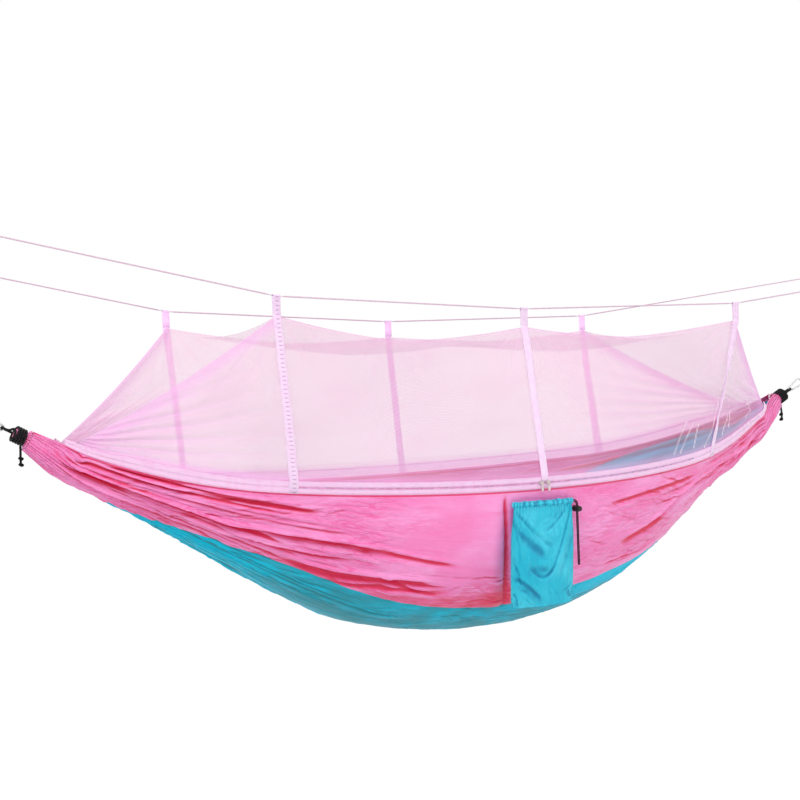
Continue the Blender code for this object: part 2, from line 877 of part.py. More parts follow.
def tied_loop(name, end, direction, side):
    """The loop tied in the end of a ridge line: a teardrop of line out of a barrel knot."""
    frame = empty(f"{name}_frame", None)
    frame.location = world(end)
    frame.rotation_mode = "QUATERNION"
    frame.rotation_quaternion = Vector((1, 0, 0)).rotation_difference(direction)
    start = seat_gap + 0.6 * tied_knot_length
    length, half = tied_loop_length, tied_loop_width / 2
    loop = [
        (start, 0, 0),
        (start + 0.30 * length, 0.55 * half, 0),
        (start + 0.62 * length, half, 0),
        (start + 0.86 * length, 0.72 * half, 0),
        (start + length, 0, 0),
        (start + 0.86 * length, -0.72 * half, 0),
        (start + 0.62 * length, -half, 0),
        (start + 0.30 * length, -0.55 * half, 0),
        (start, 0, 0),
    ]
    path = smooth_path(loop, 2)[:-1]
    ring = as_mesh(
        tube(f"{name}_ring", path, ridge_line_diameter / 2, pale_line, resolution=1, cyclic=True, parent=frame)
    )
    knot = turned(
        name,
        [
            (0.0, seat_gap),
            (0.75, seat_gap),
            (1.0, seat_gap + 0.2 * tied_knot_length),
            (0.86, seat_gap + 0.5 * tied_knot_length),
            (1.0, seat_gap + 0.8 * tied_knot_length),
            (0.7, seat_gap + tied_knot_length),
            (0.0, seat_gap + tied_knot_length),
        ],
        tied_knot_diameter / 2,
        pale_line,
        frame,
    )
    cut(knot, ring, "UNION")


def turned(name, profile_shares, radius, finish, parent=None, sides=10):
    """A solid of revolution about its parent's X axis, from (radius share, place) points."""
    shape = bmesh.new()
    previous = None
    for share, place in profile_shares:
        vertex = shape.verts.new((place, 0, share * radius))
        if previous is not None:
            shape.edges.new((previous, vertex))
        previous = vertex
    bmesh.ops.spin(
        shape,
        geom=shape.verts[:] + shape.edges[:],
        cent=(0, 0, 0),
        axis=(1, 0, 0),
        angle=2 * math.pi,
        steps=sides,
    )
    bmesh.ops.remove_doubles(shape, verts=shape.verts, dist=1e-6)
    bmesh.ops.recalc_face_normals(shape, faces=shape.faces)
    return mesh_object(name, shape, finish, parent)


def suspension_parts():
    for side, word in ((-1, "near"), (1, "far")):
        for place, which in zip(strap_places, ("left", "middle", "right")):
            strap(f"strap_{word}_{which}", place, side, side < 0 and which == "middle")
        route = ridge_route(side)
        path = smooth_path(route, 2)
        places = [world(place) for place in path]
        in_triangles(as_mesh(tube(f"ridge_line_{word}", places, ridge_line_diameter / 2, pale_line, resolution=1)))
        tied_loop(f"ridge_loop_{word}_left", path[0], (path[0] - path[1]).normalized(), side)
        tied_loop(f"ridge_loop_{word}_right", path[-1], (path[-1] - path[-2]).normalized(), side)


# End hardware, in a frame whose X axis runs outwards along the pull


def empty(name, parent):
    made = bpy.data.objects.new(name, None)
    made.empty_display_size = hook_length / 2
    parts.objects.link(made)
    made.parent = parent
    return made


def end_channel(name, frame):
    """The hem channel of all three panels, drawn up into flutes on the rope."""
    rings = [
        (0.0, rim_end_half_width / channel_radius),
        (0.07, 1.3),
        (0.14, 1.0),
        (0.86, 1.0),
        (0.97, 0.85),
        (1.0, 0.55),
    ]
    sides = 4 * channel_flutes
    shape = bmesh.new()
    loops = []
    for place_share, radius_share in rings:
        loop = []
        for step in range(sides):
            turn = 2 * math.pi * step / sides
            radius = channel_radius * radius_share + flute_depth * math.cos(channel_flutes * turn)
            place = seat_gap + bed_thickness / 4 + place_share * channel_length
            loop.append(shape.verts.new((place, radius * math.cos(turn), radius * math.sin(turn))))
        loops.append(loop)
    for first, second in zip(loops, loops[1:]):
        for step in range(sides):
            ahead = (step + 1) % sides
            shape.faces.new((first[step], first[ahead], second[ahead], second[step]))
    shape.faces.new(loops[0])
    shape.faces.new(loops[-1])
    bmesh.ops.recalc_face_normals(shape, faces=shape.faces)
    return mesh_object(name, shape, pink, frame)


def end_rope(name, frame):
    """One rope: knotted tail, turns round the channel, the eye and back into the channel."""
    rope_radius = rope_diameter / 2
    pitch = rope_diameter + rope_turn_gap
    down = Vector((-math.sin(hang_angle), 0, -math.cos(hang_angle)))
    per_turn = 10
    # The chords between points stay clear of the flutes too.
    turn_radius = (channel_radius + flute_depth + seat_gap + rope_radius) / math.cos(math.pi / per_turn)
    steps = per_turn * lashing_turns + per_turn // 4
    begin = lashing_start + rope_radius
    helix = []
    for step in range(steps + 1):
        turn = 2 * math.pi * step / per_turn - math.pi / 2
        helix.append(
            Vector(
                (begin + pitch * step / per_turn, turn_radius * math.cos(turn), turn_radius * math.sin(turn))
            )
        )
    eye_radius = hook_wire / 2 + seat_gap + rope_radius
    after = helix[-1]
    throat = hook_start - 2.2 * rope_diameter
    leg_out = [
        Vector((after.x + 0.55 * rope_diameter, 0.93 * turn_radius, 0.38 * turn_radius)),
        Vector((after.x + 1.3 * rope_diameter, 0.68 * turn_radius, 0.42 * turn_radius)),
        Vector((throat, eye_radius, 0.12 * turn_radius)),
        Vector((hook_start - 1.1 * rope_diameter, eye_radius, 0)),
    ]
    eye = [
        Vector((hook_start + eye_radius * math.sin(turn), eye_radius * math.cos(turn), 0))
        for turn in (math.pi * step / 8 for step in range(9))
    ]
    channel_end = seat_gap + bed_thickness / 4 + channel_length
    leg_back = [
        Vector((hook_start - 1.1 * rope_diameter, -eye_radius, 0)),
        Vector((throat, -eye_radius, 0)),
        Vector((channel_end + 0.3 * rope_diameter, -0.3 * channel_radius, 0)),
    ]
    tail_start = helix[0] + Vector((-0.35 * rope_diameter, -1.3 * rope_diameter, -0.25 * rope_diameter))
    tail = [
        tail_start + down * rope_tail_drop + Vector((0, -0.2 * rope_diameter, 0)),
        tail_start + down * (0.6 * rope_tail_drop) + Vector((0, -0.4 * rope_diameter, 0)),
        tail_start + down * (0.22 * rope_tail_drop),
        tail_start,
    ]
    path = smooth_path(tail, 3)[:-1] + smooth_path([tail[-1], helix[0]], 1)[:-1] + helix
    path += smooth_path([helix[-1]] + leg_out, 3)[1:-1] + [leg_out[-1]] + eye + smooth_path(leg_back, 2)
    print(f"{name}: least gap to itself {1000 * least_gap(path, rope_diameter, 4 * rope_diameter):.2f} mm")
    rope = as_mesh(tube(name, path, rope_radius, black_rope, resolution=1, parent=frame))
    for number, share in enumerate((0.62, 0.93)):
        lump = bmesh.new()
        bmesh.ops.create_uvsphere(lump, u_segments=8, v_segments=6, radius=0.95 * rope_diameter)
        centre = tail_start + down * (share * rope_tail_drop)
        bmesh.ops.transform(lump, matrix=Matrix.Translation(centre), verts=lump.verts)
        cut(rope, mesh_object(f"{name}_knot_{number}", lump, black_rope, frame), "UNION")
    return rope


def hook_layout():
    """Places on the snap hook's centreline, from the middle of its narrow bow outwards."""
    wide_centre = hook_length - hook_wire - hook_wide_radius
    between = wide_centre - hook_narrow_radius
    slant = math.asin((hook_wide_radius - hook_narrow_radius) / between)
    return wide_centre, slant


def hook_line(distance):
    """A point of the gate side, measured from where the narrow bow ends."""
    _, slant = hook_layout()
    start = Vector((hook_narrow_radius * (1 - math.sin(slant)), 0, -hook_narrow_radius * math.cos(slant)))
    return start + distance * Vector((math.cos(slant), 0, -math.sin(slant)))


def snap_hook(side, frame):
    wide_centre, slant = hook_layout()
    axis = empty(f"carabiner_{side}_axis", frame)
    axis.location = (hook_start, 0, 0)
    hinge = empty(f"carabiner_gate_{side}_axis", axis)
    pivot_at, nose_at = gate_pivot_ahead - hook_narrow_radius, gate_nose_ahead - hook_narrow_radius
    hinge.location = hook_line(pivot_at)
    wire = hook_wire / 2
    gate_rear = 0.6 * hook_wire
    shoulder = pivot_at - math.hypot(gate_rear, wire) - seat_gap
    narrow = Vector((hook_narrow_radius, 0, 0))
    wide = Vector((wide_centre, 0, 0))
    path = [hook_line(shoulder), hook_line(shoulder * 0.5)]
    for step in range(9):
        turn = mix(-math.pi / 2 - slant, -3 * math.pi / 2 + slant, step / 8)
        path.append(narrow + hook_narrow_radius * Vector((math.cos(turn), 0, math.sin(turn))))
    for step in range(13):
        turn = mix(math.pi / 2 + slant, -math.pi / 2 - slant, step / 12)
        path.append(wide + hook_wide_radius * Vector((math.cos(turn), 0, math.sin(turn))))
    path.append(hook_line(nose_at))
    name = f"carabiner_{side}"
    body = as_mesh(tube(name, path, wire, steel, resolution=2, parent=axis))
    slot_half = tang_thickness / 2 + gate_slot_clearance
    pin_hole = gate_pin_diameter / 2 + gate_slot_clearance
    turn = Matrix.Rotation(slant, 3, "Y")
    tang_tip = pivot_at + 0.45 * hook_wire
    tongue_tip = nose_at - gate_tip_gap - 0.8 * gate_slot_depth

    def bar(label, start, end, half_width, half_height, parent, origin):
        middle = hook_line((start + end) / 2) - origin
        low = middle + Vector(((start - end) / 2, -half_width, -half_height))
        high = middle + Vector(((end - start) / 2, half_width, half_height))
        return box(label, low, high, steel, parent, turn, middle)

    here = Vector((0, 0, 0))
    tang = bar(f"{name}_tang", shoulder - wire / 2, tang_tip, tang_thickness / 2, 0.92 * wire, axis, here)
    tongue = bar(f"{name}_tongue", tongue_tip, nose_at + wire / 2, tang_thickness / 2, 0.85 * wire, axis, here)
    cut(body, tang, "UNION")
    cut(body, tongue, "UNION")
    pivot = hook_line(pivot_at)
    across = Vector((0, wire + cut_overrun, 0))
    cut(body, cylinder(f"{name}_pin_hole", pin_hole, pivot - across, pivot + across, steel, 12, axis))

    gate_start, gate_end = pivot_at - gate_rear, nose_at - gate_tip_gap
    slot_end = pivot_at + 0.75 * hook_wire
    origin = pivot
    gate_name = f"carabiner_gate_{side}"
    gate = cylinder(
        gate_name, wire, hook_line(gate_start) - origin, hook_line(gate_end) - origin, steel, 16, hinge
    )
    over = wire + cut_overrun
    cut(gate, bar(f"{gate_name}_fork", gate_start - cut_overrun, slot_end, slot_half, over, hinge, origin))
    tip_slot = bar(
        f"{gate_name}_tip_slot", gate_end - gate_slot_depth, gate_end + cut_overrun, slot_half, over, hinge, origin
    )
    cut(gate, tip_slot)
    bore_end = slot_end + gate_bore_depth
    bore = cylinder(
        f"{gate_name}_bore",
        gate_bore_diameter / 2,
        hook_line(slot_end - cut_overrun / 4) - origin,
        hook_line(bore_end) - origin,
        steel,
        12,
        hinge,
    )
    cut(gate, bore)
    cut(gate, cylinder(f"{gate_name}_pin_hole", pin_hole, -across, across, steel, 12, hinge))

    pin_reach = Vector((0, wire + gate_pin_stand_out, 0))
    cylinder(f"gate_pin_{side}", gate_pin_diameter / 2, pivot - pin_reach, pivot + pin_reach, steel, 12, axis)

    spring_start = slot_end + gate_spring_wire
    spring_length = gate_bore_depth - 2 * gate_spring_wire - seat_gap
    coil_radius = (gate_spring_diameter - gate_spring_wire) / 2
    coil = []
    per_curl = 6
    for step in range(per_curl * gate_spring_curls + 1):
        angle = 2 * math.pi * step / per_curl
        along = hook_line(spring_start + spring_length * step / (per_curl * gate_spring_curls)) - origin
        out = turn @ Vector((0, 0, 1))
        coil.append(along + coil_radius * (math.cos(angle) * out + math.sin(angle) * Vector((0, 1, 0))))
    tube(f"gate_spring_{side}", coil, gate_spring_wire / 2, steel, resolution=1, parent=hinge)


def end_parts():
    for side, direction in (("left", -1), ("right", 1)):
        frame = empty(f"end_frame_{side}", None)
        frame.location = world((direction * half_span, 0, 0))
        spin = 0 if direction > 0 else math.pi
        frame.matrix_world = (
            Matrix.Translation(frame.location)
            @ Matrix.Rotation(spin, 4, "Z")
            @ Matrix.Rotation(-hang_angle, 4, "Y")
        )
        end_channel(f"end_channel_{side}", frame)
        end_rope(f"end_rope_{side}", frame)
        snap_hook(side, frame)


# Stuff pouch hanging from the near rim


def arc_inset(station):
    """How far the rim's arc has drawn in at a station."""
    return (arc_radius - math.sqrt(arc_radius ** 2 - station ** 2)) * math.cos(rim_plane_tilt)


def bed_reach(station, height):
    """How far the bed's calm surface stands out from the middle at a height."""
    wide = bed_half_width(station) / math.sin(section_half_angle) ** section_power
    deep = section_depth(station)
    share = (keel_height(station) + deep - height) / deep
    return wide * math.sin(math.acos(share ** (1 / section_power))) ** section_power


hem_height = -rim_drop - pouch_drop
hem_seat = bed_reach(0, hem_height) + bed_thickness / 2 + seat_gap
# A flat of the hem's eight-sided tube lies along the panel.
hem_reach = hem_seat + hem_radius * math.cos(math.pi / 8) + pouch_mouth_depth / 2


def pouch_section(drop_share):
    """Half width, half depth and lean towards the bed at a share of the height."""
    belly = math.sin(math.pi * min(1.0, drop_share * 0.62 + 0.12))
    wide = pouch_width / 2 * mix(0.93, 1.0, smooth_step(drop_share, 0, 0.35))
    top_half, foot_half = pouch_mouth_depth / 2, pouch_foot_depth / 2
    plain = mix(top_half, foot_half, drop_share)
    deep = plain + (pouch_depth / 2 - plain) * belly * smooth_step(drop_share, 0, 0.3) * (1 - drop_share ** 3)
    lean = pouch_lean * drop_share
    return wide, deep, lean


def pouch_body():
    steps_round, steps_down = 22, 9
    shape = bmesh.new()
    rings = []
    top = hem_height - hem_radius - hem_ripple - seat_gap
    for level in range(steps_down + 1):
        share = level / steps_down
        wide, deep, lean = pouch_section(share)
        ring = []
        for step in range(steps_round):
            turn = 2 * math.pi * step / steps_round
            across = wide * signed_power(math.cos(turn), 0.75)
            out = deep * signed_power(math.sin(turn), 0.9)
            fold = pouch_fold_height * math.sin(pouch_fold_count * math.pi * across / pouch_width + 3 * share)
            out += fold * math.sin(turn) ** 2 * math.sin(math.pi * share) * (1 if out > 0 else 0.2)
            station = pouch_offset + across
            place = (station, -(hem_reach - lean) + arc_inset(station) - out, top - share * pouch_height)
            ring.append(shape.verts.new(world(place)))
        rings.append(ring)
    for first, second in zip(rings, rings[1:]):
        for step in range(steps_round):
            ahead = (step + 1) % steps_round
            shape.faces.new((first[step], first[ahead], second[ahead], second[step]))
    shape.faces.new(rings[-1])
    bmesh.ops.recalc_face_normals(shape, faces=shape.faces)
    made = mesh_object("pouch_body", shape, turquoise)
    wall = made.modifiers.new("Thickness", "SOLIDIFY")
    wall.thickness = pouch_wall
    wall.offset = 0
    wall.use_quality_normals = True


def hem_path():
    wide, deep, _ = pouch_section(0)
    steps = 36
    path = []
    for step in range(steps):
        turn = 2 * math.pi * step / steps
        station = pouch_offset + wide * signed_power(math.cos(turn), 0.8)
        out = deep * signed_power(math.sin(turn), 0.9)
        ripple = hem_ripple * math.cos(hem_ripple_count * turn)
        path.append(world((station, -hem_reach + arc_inset(station) - out, hem_height + ripple)))
    return path


def drawstring_frame():
    """The middle of the two strands where they turn down beside the hem."""
    wide, _, _ = pouch_section(0)
    end_station = pouch_offset + wide
    side = -hem_reach + arc_inset(end_station)
    return Vector((end_station + hem_radius + seat_gap, side, hem_height))


def drawstring():
    """Both ends of the string, out of the hem and down through the lock to the bight."""
    out_of_hem = drawstring_frame()
    bend = string_bend_share * string_diameter + strand_spacing / 2 + string_diameter / 2
    inner = bend - strand_spacing / 2
    outer = bend + strand_spacing / 2
    centre = out_of_hem + Vector((0, 0, -bend))
    path = []
    for radius in (outer, inner):
        arm = [
            centre + radius * Vector((math.sin(turn), 0, math.cos(turn)))
            for turn in (math.pi / 2 * step / 4 for step in range(5))
        ]
        arm += [
            centre + Vector((radius, 0, -string_tail * step / 8)) for step in range(1, 9)
        ]
        path.append(arm)
    bight = [
        centre
        + Vector(
            (bend + strand_spacing / 2 * math.cos(turn), 0, -string_tail - strand_spacing / 2 * math.sin(turn))
        )
        for turn in (math.pi * step / 4 for step in range(1, 4))
    ]
    route = path[0] + bight + list(reversed(path[1]))
    tube("pouch_drawstring", [world(p) for p in route], string_diameter / 2, black_rope, resolution=1)
    return centre + Vector((bend, 0, -lock_outer_radius - lock_below_hem + string_diameter))


def cord_lock():
    middle = world(drawstring())
    frame = empty("cord_lock_frame", None)
    frame.location = middle
    press = empty("cord_lock_plunger_axis", frame)
    half_string = string_diameter / 2
    slot_wide = strand_spacing / 2 + half_string + strand_clearance
    slot_deep = half_string + strand_clearance
    barrel = cylinder(
        "cord_lock_barrel", lock_outer_radius, (0, -lock_front, 0), (0, lock_rear, 0), black_plastic, 24, frame
    )
    edge = barrel.modifiers.new("Edges", "BEVEL")
    edge.width = lock_outer_radius / 10
    edge.segments = 1
    edge.limit_method = "ANGLE"
    bore = cylinder(
        "cord_lock_bore",
        lock_bore_radius,
        (0, -lock_front - cut_overrun, 0),
        (0, lock_rear - lock_floor, 0),
        black_plastic,
        20,
        frame,
    )
    cut(barrel, bore)
    tall = lock_outer_radius + cut_overrun
    cord_way = box(
        "cord_lock_way", (-slot_wide, -slot_deep, -tall), (slot_wide, slot_deep, tall), black_plastic, frame
    )
    cut(barrel, cord_way)

    plunger_radius = lock_bore_radius - plunger_clearance
    face = -lock_front - plunger_stand_out
    plunger = cylinder(
        "cord_lock_plunger", plunger_radius, (0, face, 0), (0, plunger_tail, 0), black_plastic, 20, press
    )
    head = cylinder(
        "cord_lock_plunger_head",
        plunger_head_radius,
        (0, face - plunger_head_length, 0),
        (0, face + cut_overrun / 4, 0),
        black_plastic,
        20,
        press,
    )
    cut(plunger, head, "UNION")
    slot = box(
        "cord_lock_plunger_way",
        (-slot_wide, -slot_deep - plunger_travel, -tall),
        (slot_wide, slot_deep, tall),
        black_plastic,
        press,
    )
    cut(plunger, slot)

    start, end = plunger_tail + lock_spring_wire, lock_rear - lock_floor - lock_spring_wire
    per_curl = 6
    coil = []
    for step in range(per_curl * lock_spring_curls + 1):
        turn = 2 * math.pi * step / per_curl
        along = mix(start, end, step / (per_curl * lock_spring_curls))
        coil.append((lock_spring_radius * math.cos(turn), along, lock_spring_radius * math.sin(turn)))
    tube("cord_lock_spring", coil, lock_spring_wire / 2, steel, resolution=1, parent=frame)


def pouch_parts():
    pouch_body()
    in_triangles(as_mesh(tube("pouch_hem", hem_path(), hem_radius, turquoise, cyclic=True)))
    cord_lock()


for old in list(bpy.data.objects):
    bpy.data.objects.remove(old)
parts = bpy.data.collections.new("hammock_tent")
cutters = bpy.data.collections.new("cutters")
bpy.context.scene.collection.children.link(parts)
bpy.context.scene.collection.children.link(cutters)
cutters.hide_render = True

pink = material("Pink nylon", (0.89, 0.24, 0.55), 0.55)
turquoise = material("Turquoise nylon", (0.03, 0.53, 0.69), 0.5)
net = material("Pale pink net", (0.96, 0.62, 0.84), 0.8, alpha=0.45)
pale_webbing = material("Pale pink webbing", (0.95, 0.63, 0.86), 0.7)
pale_line = material("Pale pink line", (0.85, 0.56, 0.72), 0.7)
black_rope = material("Black rope", (0.012, 0.012, 0.014), 0.8)
black_plastic = material("Black plastic", (0.012, 0.012, 0.014), 0.4)
zip_plastic = material("Pink zip teeth", (0.93, 0.55, 0.80), 0.45)
steel = material("Plated steel", (0.62, 0.62, 0.64), 0.3, 1.0)

zip_axis = empty("zip_arc_axis", None)
zip_axis.location = world(
    (
        0,
        -rim_half_width + arc_radius * math.cos(rim_plane_tilt),
        -rim_drop + arc_radius * math.sin(rim_plane_tilt),
    )
)
zip_axis.rotation_euler = (rim_plane_tilt, 0, 0)

bed_parts()
rim_parts()
zip_slider("left", -slider_spread)
zip_slider("right", slider_spread)
canopy_parts()
suspension_parts()
end_parts()
pouch_parts()
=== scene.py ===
import math

import bmesh
import bpy
import numpy as np
from mathutils import Matrix, Vector


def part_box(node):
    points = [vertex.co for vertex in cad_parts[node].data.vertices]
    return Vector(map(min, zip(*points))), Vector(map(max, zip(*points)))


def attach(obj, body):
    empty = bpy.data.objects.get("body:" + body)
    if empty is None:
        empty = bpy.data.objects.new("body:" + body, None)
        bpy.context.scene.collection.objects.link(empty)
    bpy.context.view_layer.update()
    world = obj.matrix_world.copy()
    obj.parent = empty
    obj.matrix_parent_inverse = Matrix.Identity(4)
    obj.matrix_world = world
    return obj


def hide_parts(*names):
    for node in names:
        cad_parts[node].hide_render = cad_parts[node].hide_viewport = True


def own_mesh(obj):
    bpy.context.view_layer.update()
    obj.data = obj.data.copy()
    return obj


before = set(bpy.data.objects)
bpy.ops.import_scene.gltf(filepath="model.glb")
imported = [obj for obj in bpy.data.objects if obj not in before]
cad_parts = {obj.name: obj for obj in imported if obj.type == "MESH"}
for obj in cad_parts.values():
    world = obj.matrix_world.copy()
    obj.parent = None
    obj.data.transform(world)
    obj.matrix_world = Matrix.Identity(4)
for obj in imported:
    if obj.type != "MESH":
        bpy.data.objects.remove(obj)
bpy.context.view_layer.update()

# sizes shared by all pieces, measured from the middle of the hammock
bed = {
    "centreX": 1.252863, "gatherZ": -0.054693, "halfSpan": 1.15, "rimHalf": 0.425, "rimEndHalf": 0.022,
    "rimDrop": 0.170, "arcHalf": 0.60, "arcAngle": math.radians(25.7), "tilt": math.radians(10),
    "depth": 0.54, "endDepth": 0.021, "power": 0.78, "openAngle": math.radians(73),
    "closedAngle": math.radians(155), "closing": 0.16, "hang": math.radians(28),
}
net = {
    "ridgeSpacing": 0.726, "straps": (-0.655, 0.025, 0.705), "ridgeZ": (0.315, 0.275, 0.280),
    "leftSlope": 0.21, "rightSlope": 0.122, "loopDrop": 0.045, "apexInset": 0.095, "apexRise": 0.004,
    "nearSag": (0.046, 0.034), "farSag": (0.030, 0.022), "pull": 0.022, "roofSag": 0.035, "hollow": 0.020,
}
rim = {
    "zipRise": 0.0105, "rowGap": 0.0056, "upper": 0.0125, "lower": 0.0125, "seat": 0.0015, "lap": 0.004,
    "endInset": 0.066, "taperInset": 0.120, "zipHalf": 0.585, "standOff": 0.0012, "thickness": 0.0009,
    "length": 2.35, "closing": (0.5896, 0.6021), "closedGap": 0.0003, "flatTo": (0.600, 0.650),
    "roll": 0.0004, "ripple": 0.0005, "sliderHalf": 0.0042,
}
seatGap, sewnGap = 0.0003, 0.0004  # clear space where pieces bear on each other, and at sewn edges
arcRadius = bed["arcHalf"] / math.sin(bed["arcAngle"])
leftStrap, middleStrap, rightStrap = net["straps"]
turnSteps = 24  # straight stretches in a turn of a wound line


def smoothStep(value, low, high):
    share = np.clip((value - low) / (high - low), 0.0, 1.0)
    return share * share * (3 - 2 * share)


def blendTo(first, second, share):
    return first + (second - first) * share


def hump(away, half=1.0):
    # 1 in the middle, falling off on both sides
    return np.exp(-(away / half) ** 2)


def signedPower(value, power):
    return np.sign(value) * np.abs(value) ** power


def hermite(start, end, startSlope, endSlope, length, share):
    square, cube = share ** 2, share ** 3
    return ((2 * cube - 3 * square + 1) * start + (cube - 2 * square + share) * length * startSlope
            + (3 * square - 2 * cube) * end + (cube - square) * length * endSlope)


def unit(vectors):
    return vectors / np.maximum(np.linalg.norm(vectors, axis=-1, keepdims=True), 1e-9)


def toWorld(points):
    return np.asarray(points, float) + np.array([bed["centreX"], 0.0, bed["gatherZ"]])


# camera, first of all
cameraSetup = {
    "place": (-2.257, -3.900, 0.129), "heading": 0.497, "dip": 0.017, "roll": 0.0375,
    "focalPixels": 1667.7, "imagePixels": 800,
}


def makeCamera():
    heading, dip, roll = cameraSetup["heading"], cameraSetup["dip"], cameraSetup["roll"]
    ahead = Vector((math.sin(heading) * math.cos(dip), math.cos(heading) * math.cos(dip), -math.sin(dip)))
    right = Vector((math.cos(heading), -math.sin(heading), 0))
    up = right.cross(ahead)
    rolledRight = right * math.cos(roll) - up * math.sin(roll)
    rolledUp = right * math.sin(roll) + up * math.cos(roll)
    turn = Matrix((rolledRight, rolledUp, -ahead)).transposed().to_4x4()
    bpy.ops.object.camera_add()
    camera = bpy.context.object
    camera.name = "photoCamera"
    camera.data.sensor_width = 36
    camera.data.lens = cameraSetup["focalPixels"] / cameraSetup["imagePixels"] * camera.data.sensor_width
    camera.matrix_world = Matrix.Translation(toWorld(cameraSetup["place"])) @ turn
    bpy.context.scene.camera = camera
    print("camera set")


makeCamera()


# materials, each built by a small set of node helpers
class Finish:
    def __init__(self, name):
        self.material = bpy.data.materials.new(name)
        self.material.use_nodes = True
        self.nodes, self.links = self.material.node_tree.nodes, self.material.node_tree.links
        self.shader = self.nodes["Principled BSDF"]

    def feed(self, socket, value):
        if isinstance(value, bpy.types.NodeSocket):
            self.links.new(value, socket)
        elif isinstance(value, (int, float)):
            socket.default_value = value
        else:
            socket.default_value = (*value, 1)

    def give(self, **values):
        for word, value in values.items():
            self.feed(self.shader.inputs[word.replace("_", " ")], value)

    def coords(self, kind):
        return self.nodes.new("ShaderNodeTexCoord").outputs[kind]

    def mark(self, name):
        node = self.nodes.new("ShaderNodeAttribute")
        node.attribute_name = name
        return node.outputs["Fac"]

    def parts(self, vector):
        node = self.nodes.new("ShaderNodeSeparateXYZ")
        self.feed(node.inputs[0], vector)
        return node.outputs[0], node.outputs[1]

    def maths(self, operation, first, second=0.0):
        node = self.nodes.new("ShaderNodeMath")
        node.operation = operation
        self.feed(node.inputs[0], first)
        self.feed(node.inputs[1], second)
        return node.outputs[0]

    def times(self, first, second):
        return self.maths("MULTIPLY", first, second)

    def plus(self, first, second):
        return self.maths("ADD", first, second)

    def ramp(self, source, low, high):
        node = self.nodes.new("ShaderNodeMapRange")
        node.inputs["From Min"].default_value = low
        node.inputs["From Max"].default_value = high
        node.interpolation_type = "SMOOTHSTEP"
        self.feed(node.inputs["Value"], source)
        return node.outputs["Result"]

    def mix(self, factor, first, second):
        node = self.nodes.new("ShaderNodeMix")
        node.data_type = "RGBA"
        for place, value in ((0, factor), (6, first), (7, second)):
            self.feed(node.inputs[place], value)
        return node.outputs[2]

    def noise(self, vector, scale, detail=3.0, roughness=0.55, distortion=0.0):
        mapping = self.nodes.new("ShaderNodeMapping")
        mapping.inputs["Scale"].default_value = scale
        self.feed(mapping.inputs["Vector"], vector)
        node = self.nodes.new("ShaderNodeTexNoise")
        node.inputs["Scale"].default_value = 1.0
        node.inputs["Detail"].default_value = detail
        node.inputs["Roughness"].default_value = roughness
        node.inputs["Distortion"].default_value = distortion
        self.feed(node.inputs["Vector"], mapping.outputs["Vector"])
        return node.outputs["Fac"]

    def wave(self, value, pitch):
        return self.maths("SINE", self.times(value, math.tau / pitch))

    def threads(self, uv, pitch):
        return self.maths("MAXIMUM", *[self.wave(part, pitch) for part in self.parts(uv)])

    def away(self, value, place):
        return self.maths("ABSOLUTE", self.maths("SUBTRACT", value, place))

    def near(self, value, place, reach):
        # 1 where a value lies at a place, falling to 0 at the reach
        return self.ramp(self.away(value, place), reach, reach * 0.4)

    def rows(self, value, places, reach):
        return self.maths("MAXIMUM", *[self.near(value, place, reach) for place in places])

    def bump(self, height, strength, distance, normal=None):
        node = self.nodes.new("ShaderNodeBump")
        node.inputs["Strength"].default_value = strength
        node.inputs["Distance"].default_value = distance
        self.feed(node.inputs["Height"], height)
        if normal is not None:
            self.feed(node.inputs["Normal"], normal)
        return node.outputs["Normal"]


# stitches beside a sewn edge, and the painted shadow line under the rim's band, in metres
stitchLook = {"rows": (0.0025, 0.0065), "half": 0.0007, "dash": 0.0042, "tuck": 0.0068, "bandShadowHalf": 0.0024}
# thin nylon: relief runs from -1, painted shade in a fold, to 1, a painted highlight on a crest, crumple
# from 0 calm to 1 creased, and edge is the distance in metres from the sewn edge
# deep is the colour of painted shade, pale that of the random mottle and of painted highlights, and shade
# that of the streaks, the stitches and the painted shade along creases
fabricLooks = {
    "pinkNylon": {
        "colour": (0.955, 0.235, 0.56), "pale": (0.99, 0.35, 0.70), "shade": (0.92, 0.125, 0.40),
        "deep": (0.78, 0.016, 0.085), "foldShade": 0.97, "crumpleShade": 0.95, "crumpleLift": 0.8,
        "threadPitch": 0.0011, "roughness": 0.40, "sheen": 0.15, "gloss": 0.40,
    },
    "turquoiseNylon": {
        "colour": (0.003, 0.54, 0.75), "pale": (0.010, 0.61, 0.82), "shade": (0.002, 0.43, 0.65),
        "deep": (0.035, 0.22, 0.26), "foldShade": 0.85, "crumpleShade": 0.55, "crumpleLift": 0.5,
        "threadPitch": 0.0011, "roughness": 0.45, "sheen": 0.0, "gloss": 0.12,
    },
    "pouchNylon": {
        "colour": (0.010, 0.50, 0.68), "pale": (0.075, 0.66, 0.83), "shade": (0.003, 0.38, 0.58),
        "deep": (0.001, 0.215, 0.40), "foldShade": 0.9, "crumpleShade": 0.60, "crumpleLift": 0.8,
        "threadPitch": 0.0011, "roughness": 0.36, "sheen": 0.0, "gloss": 0.30,
    },
}


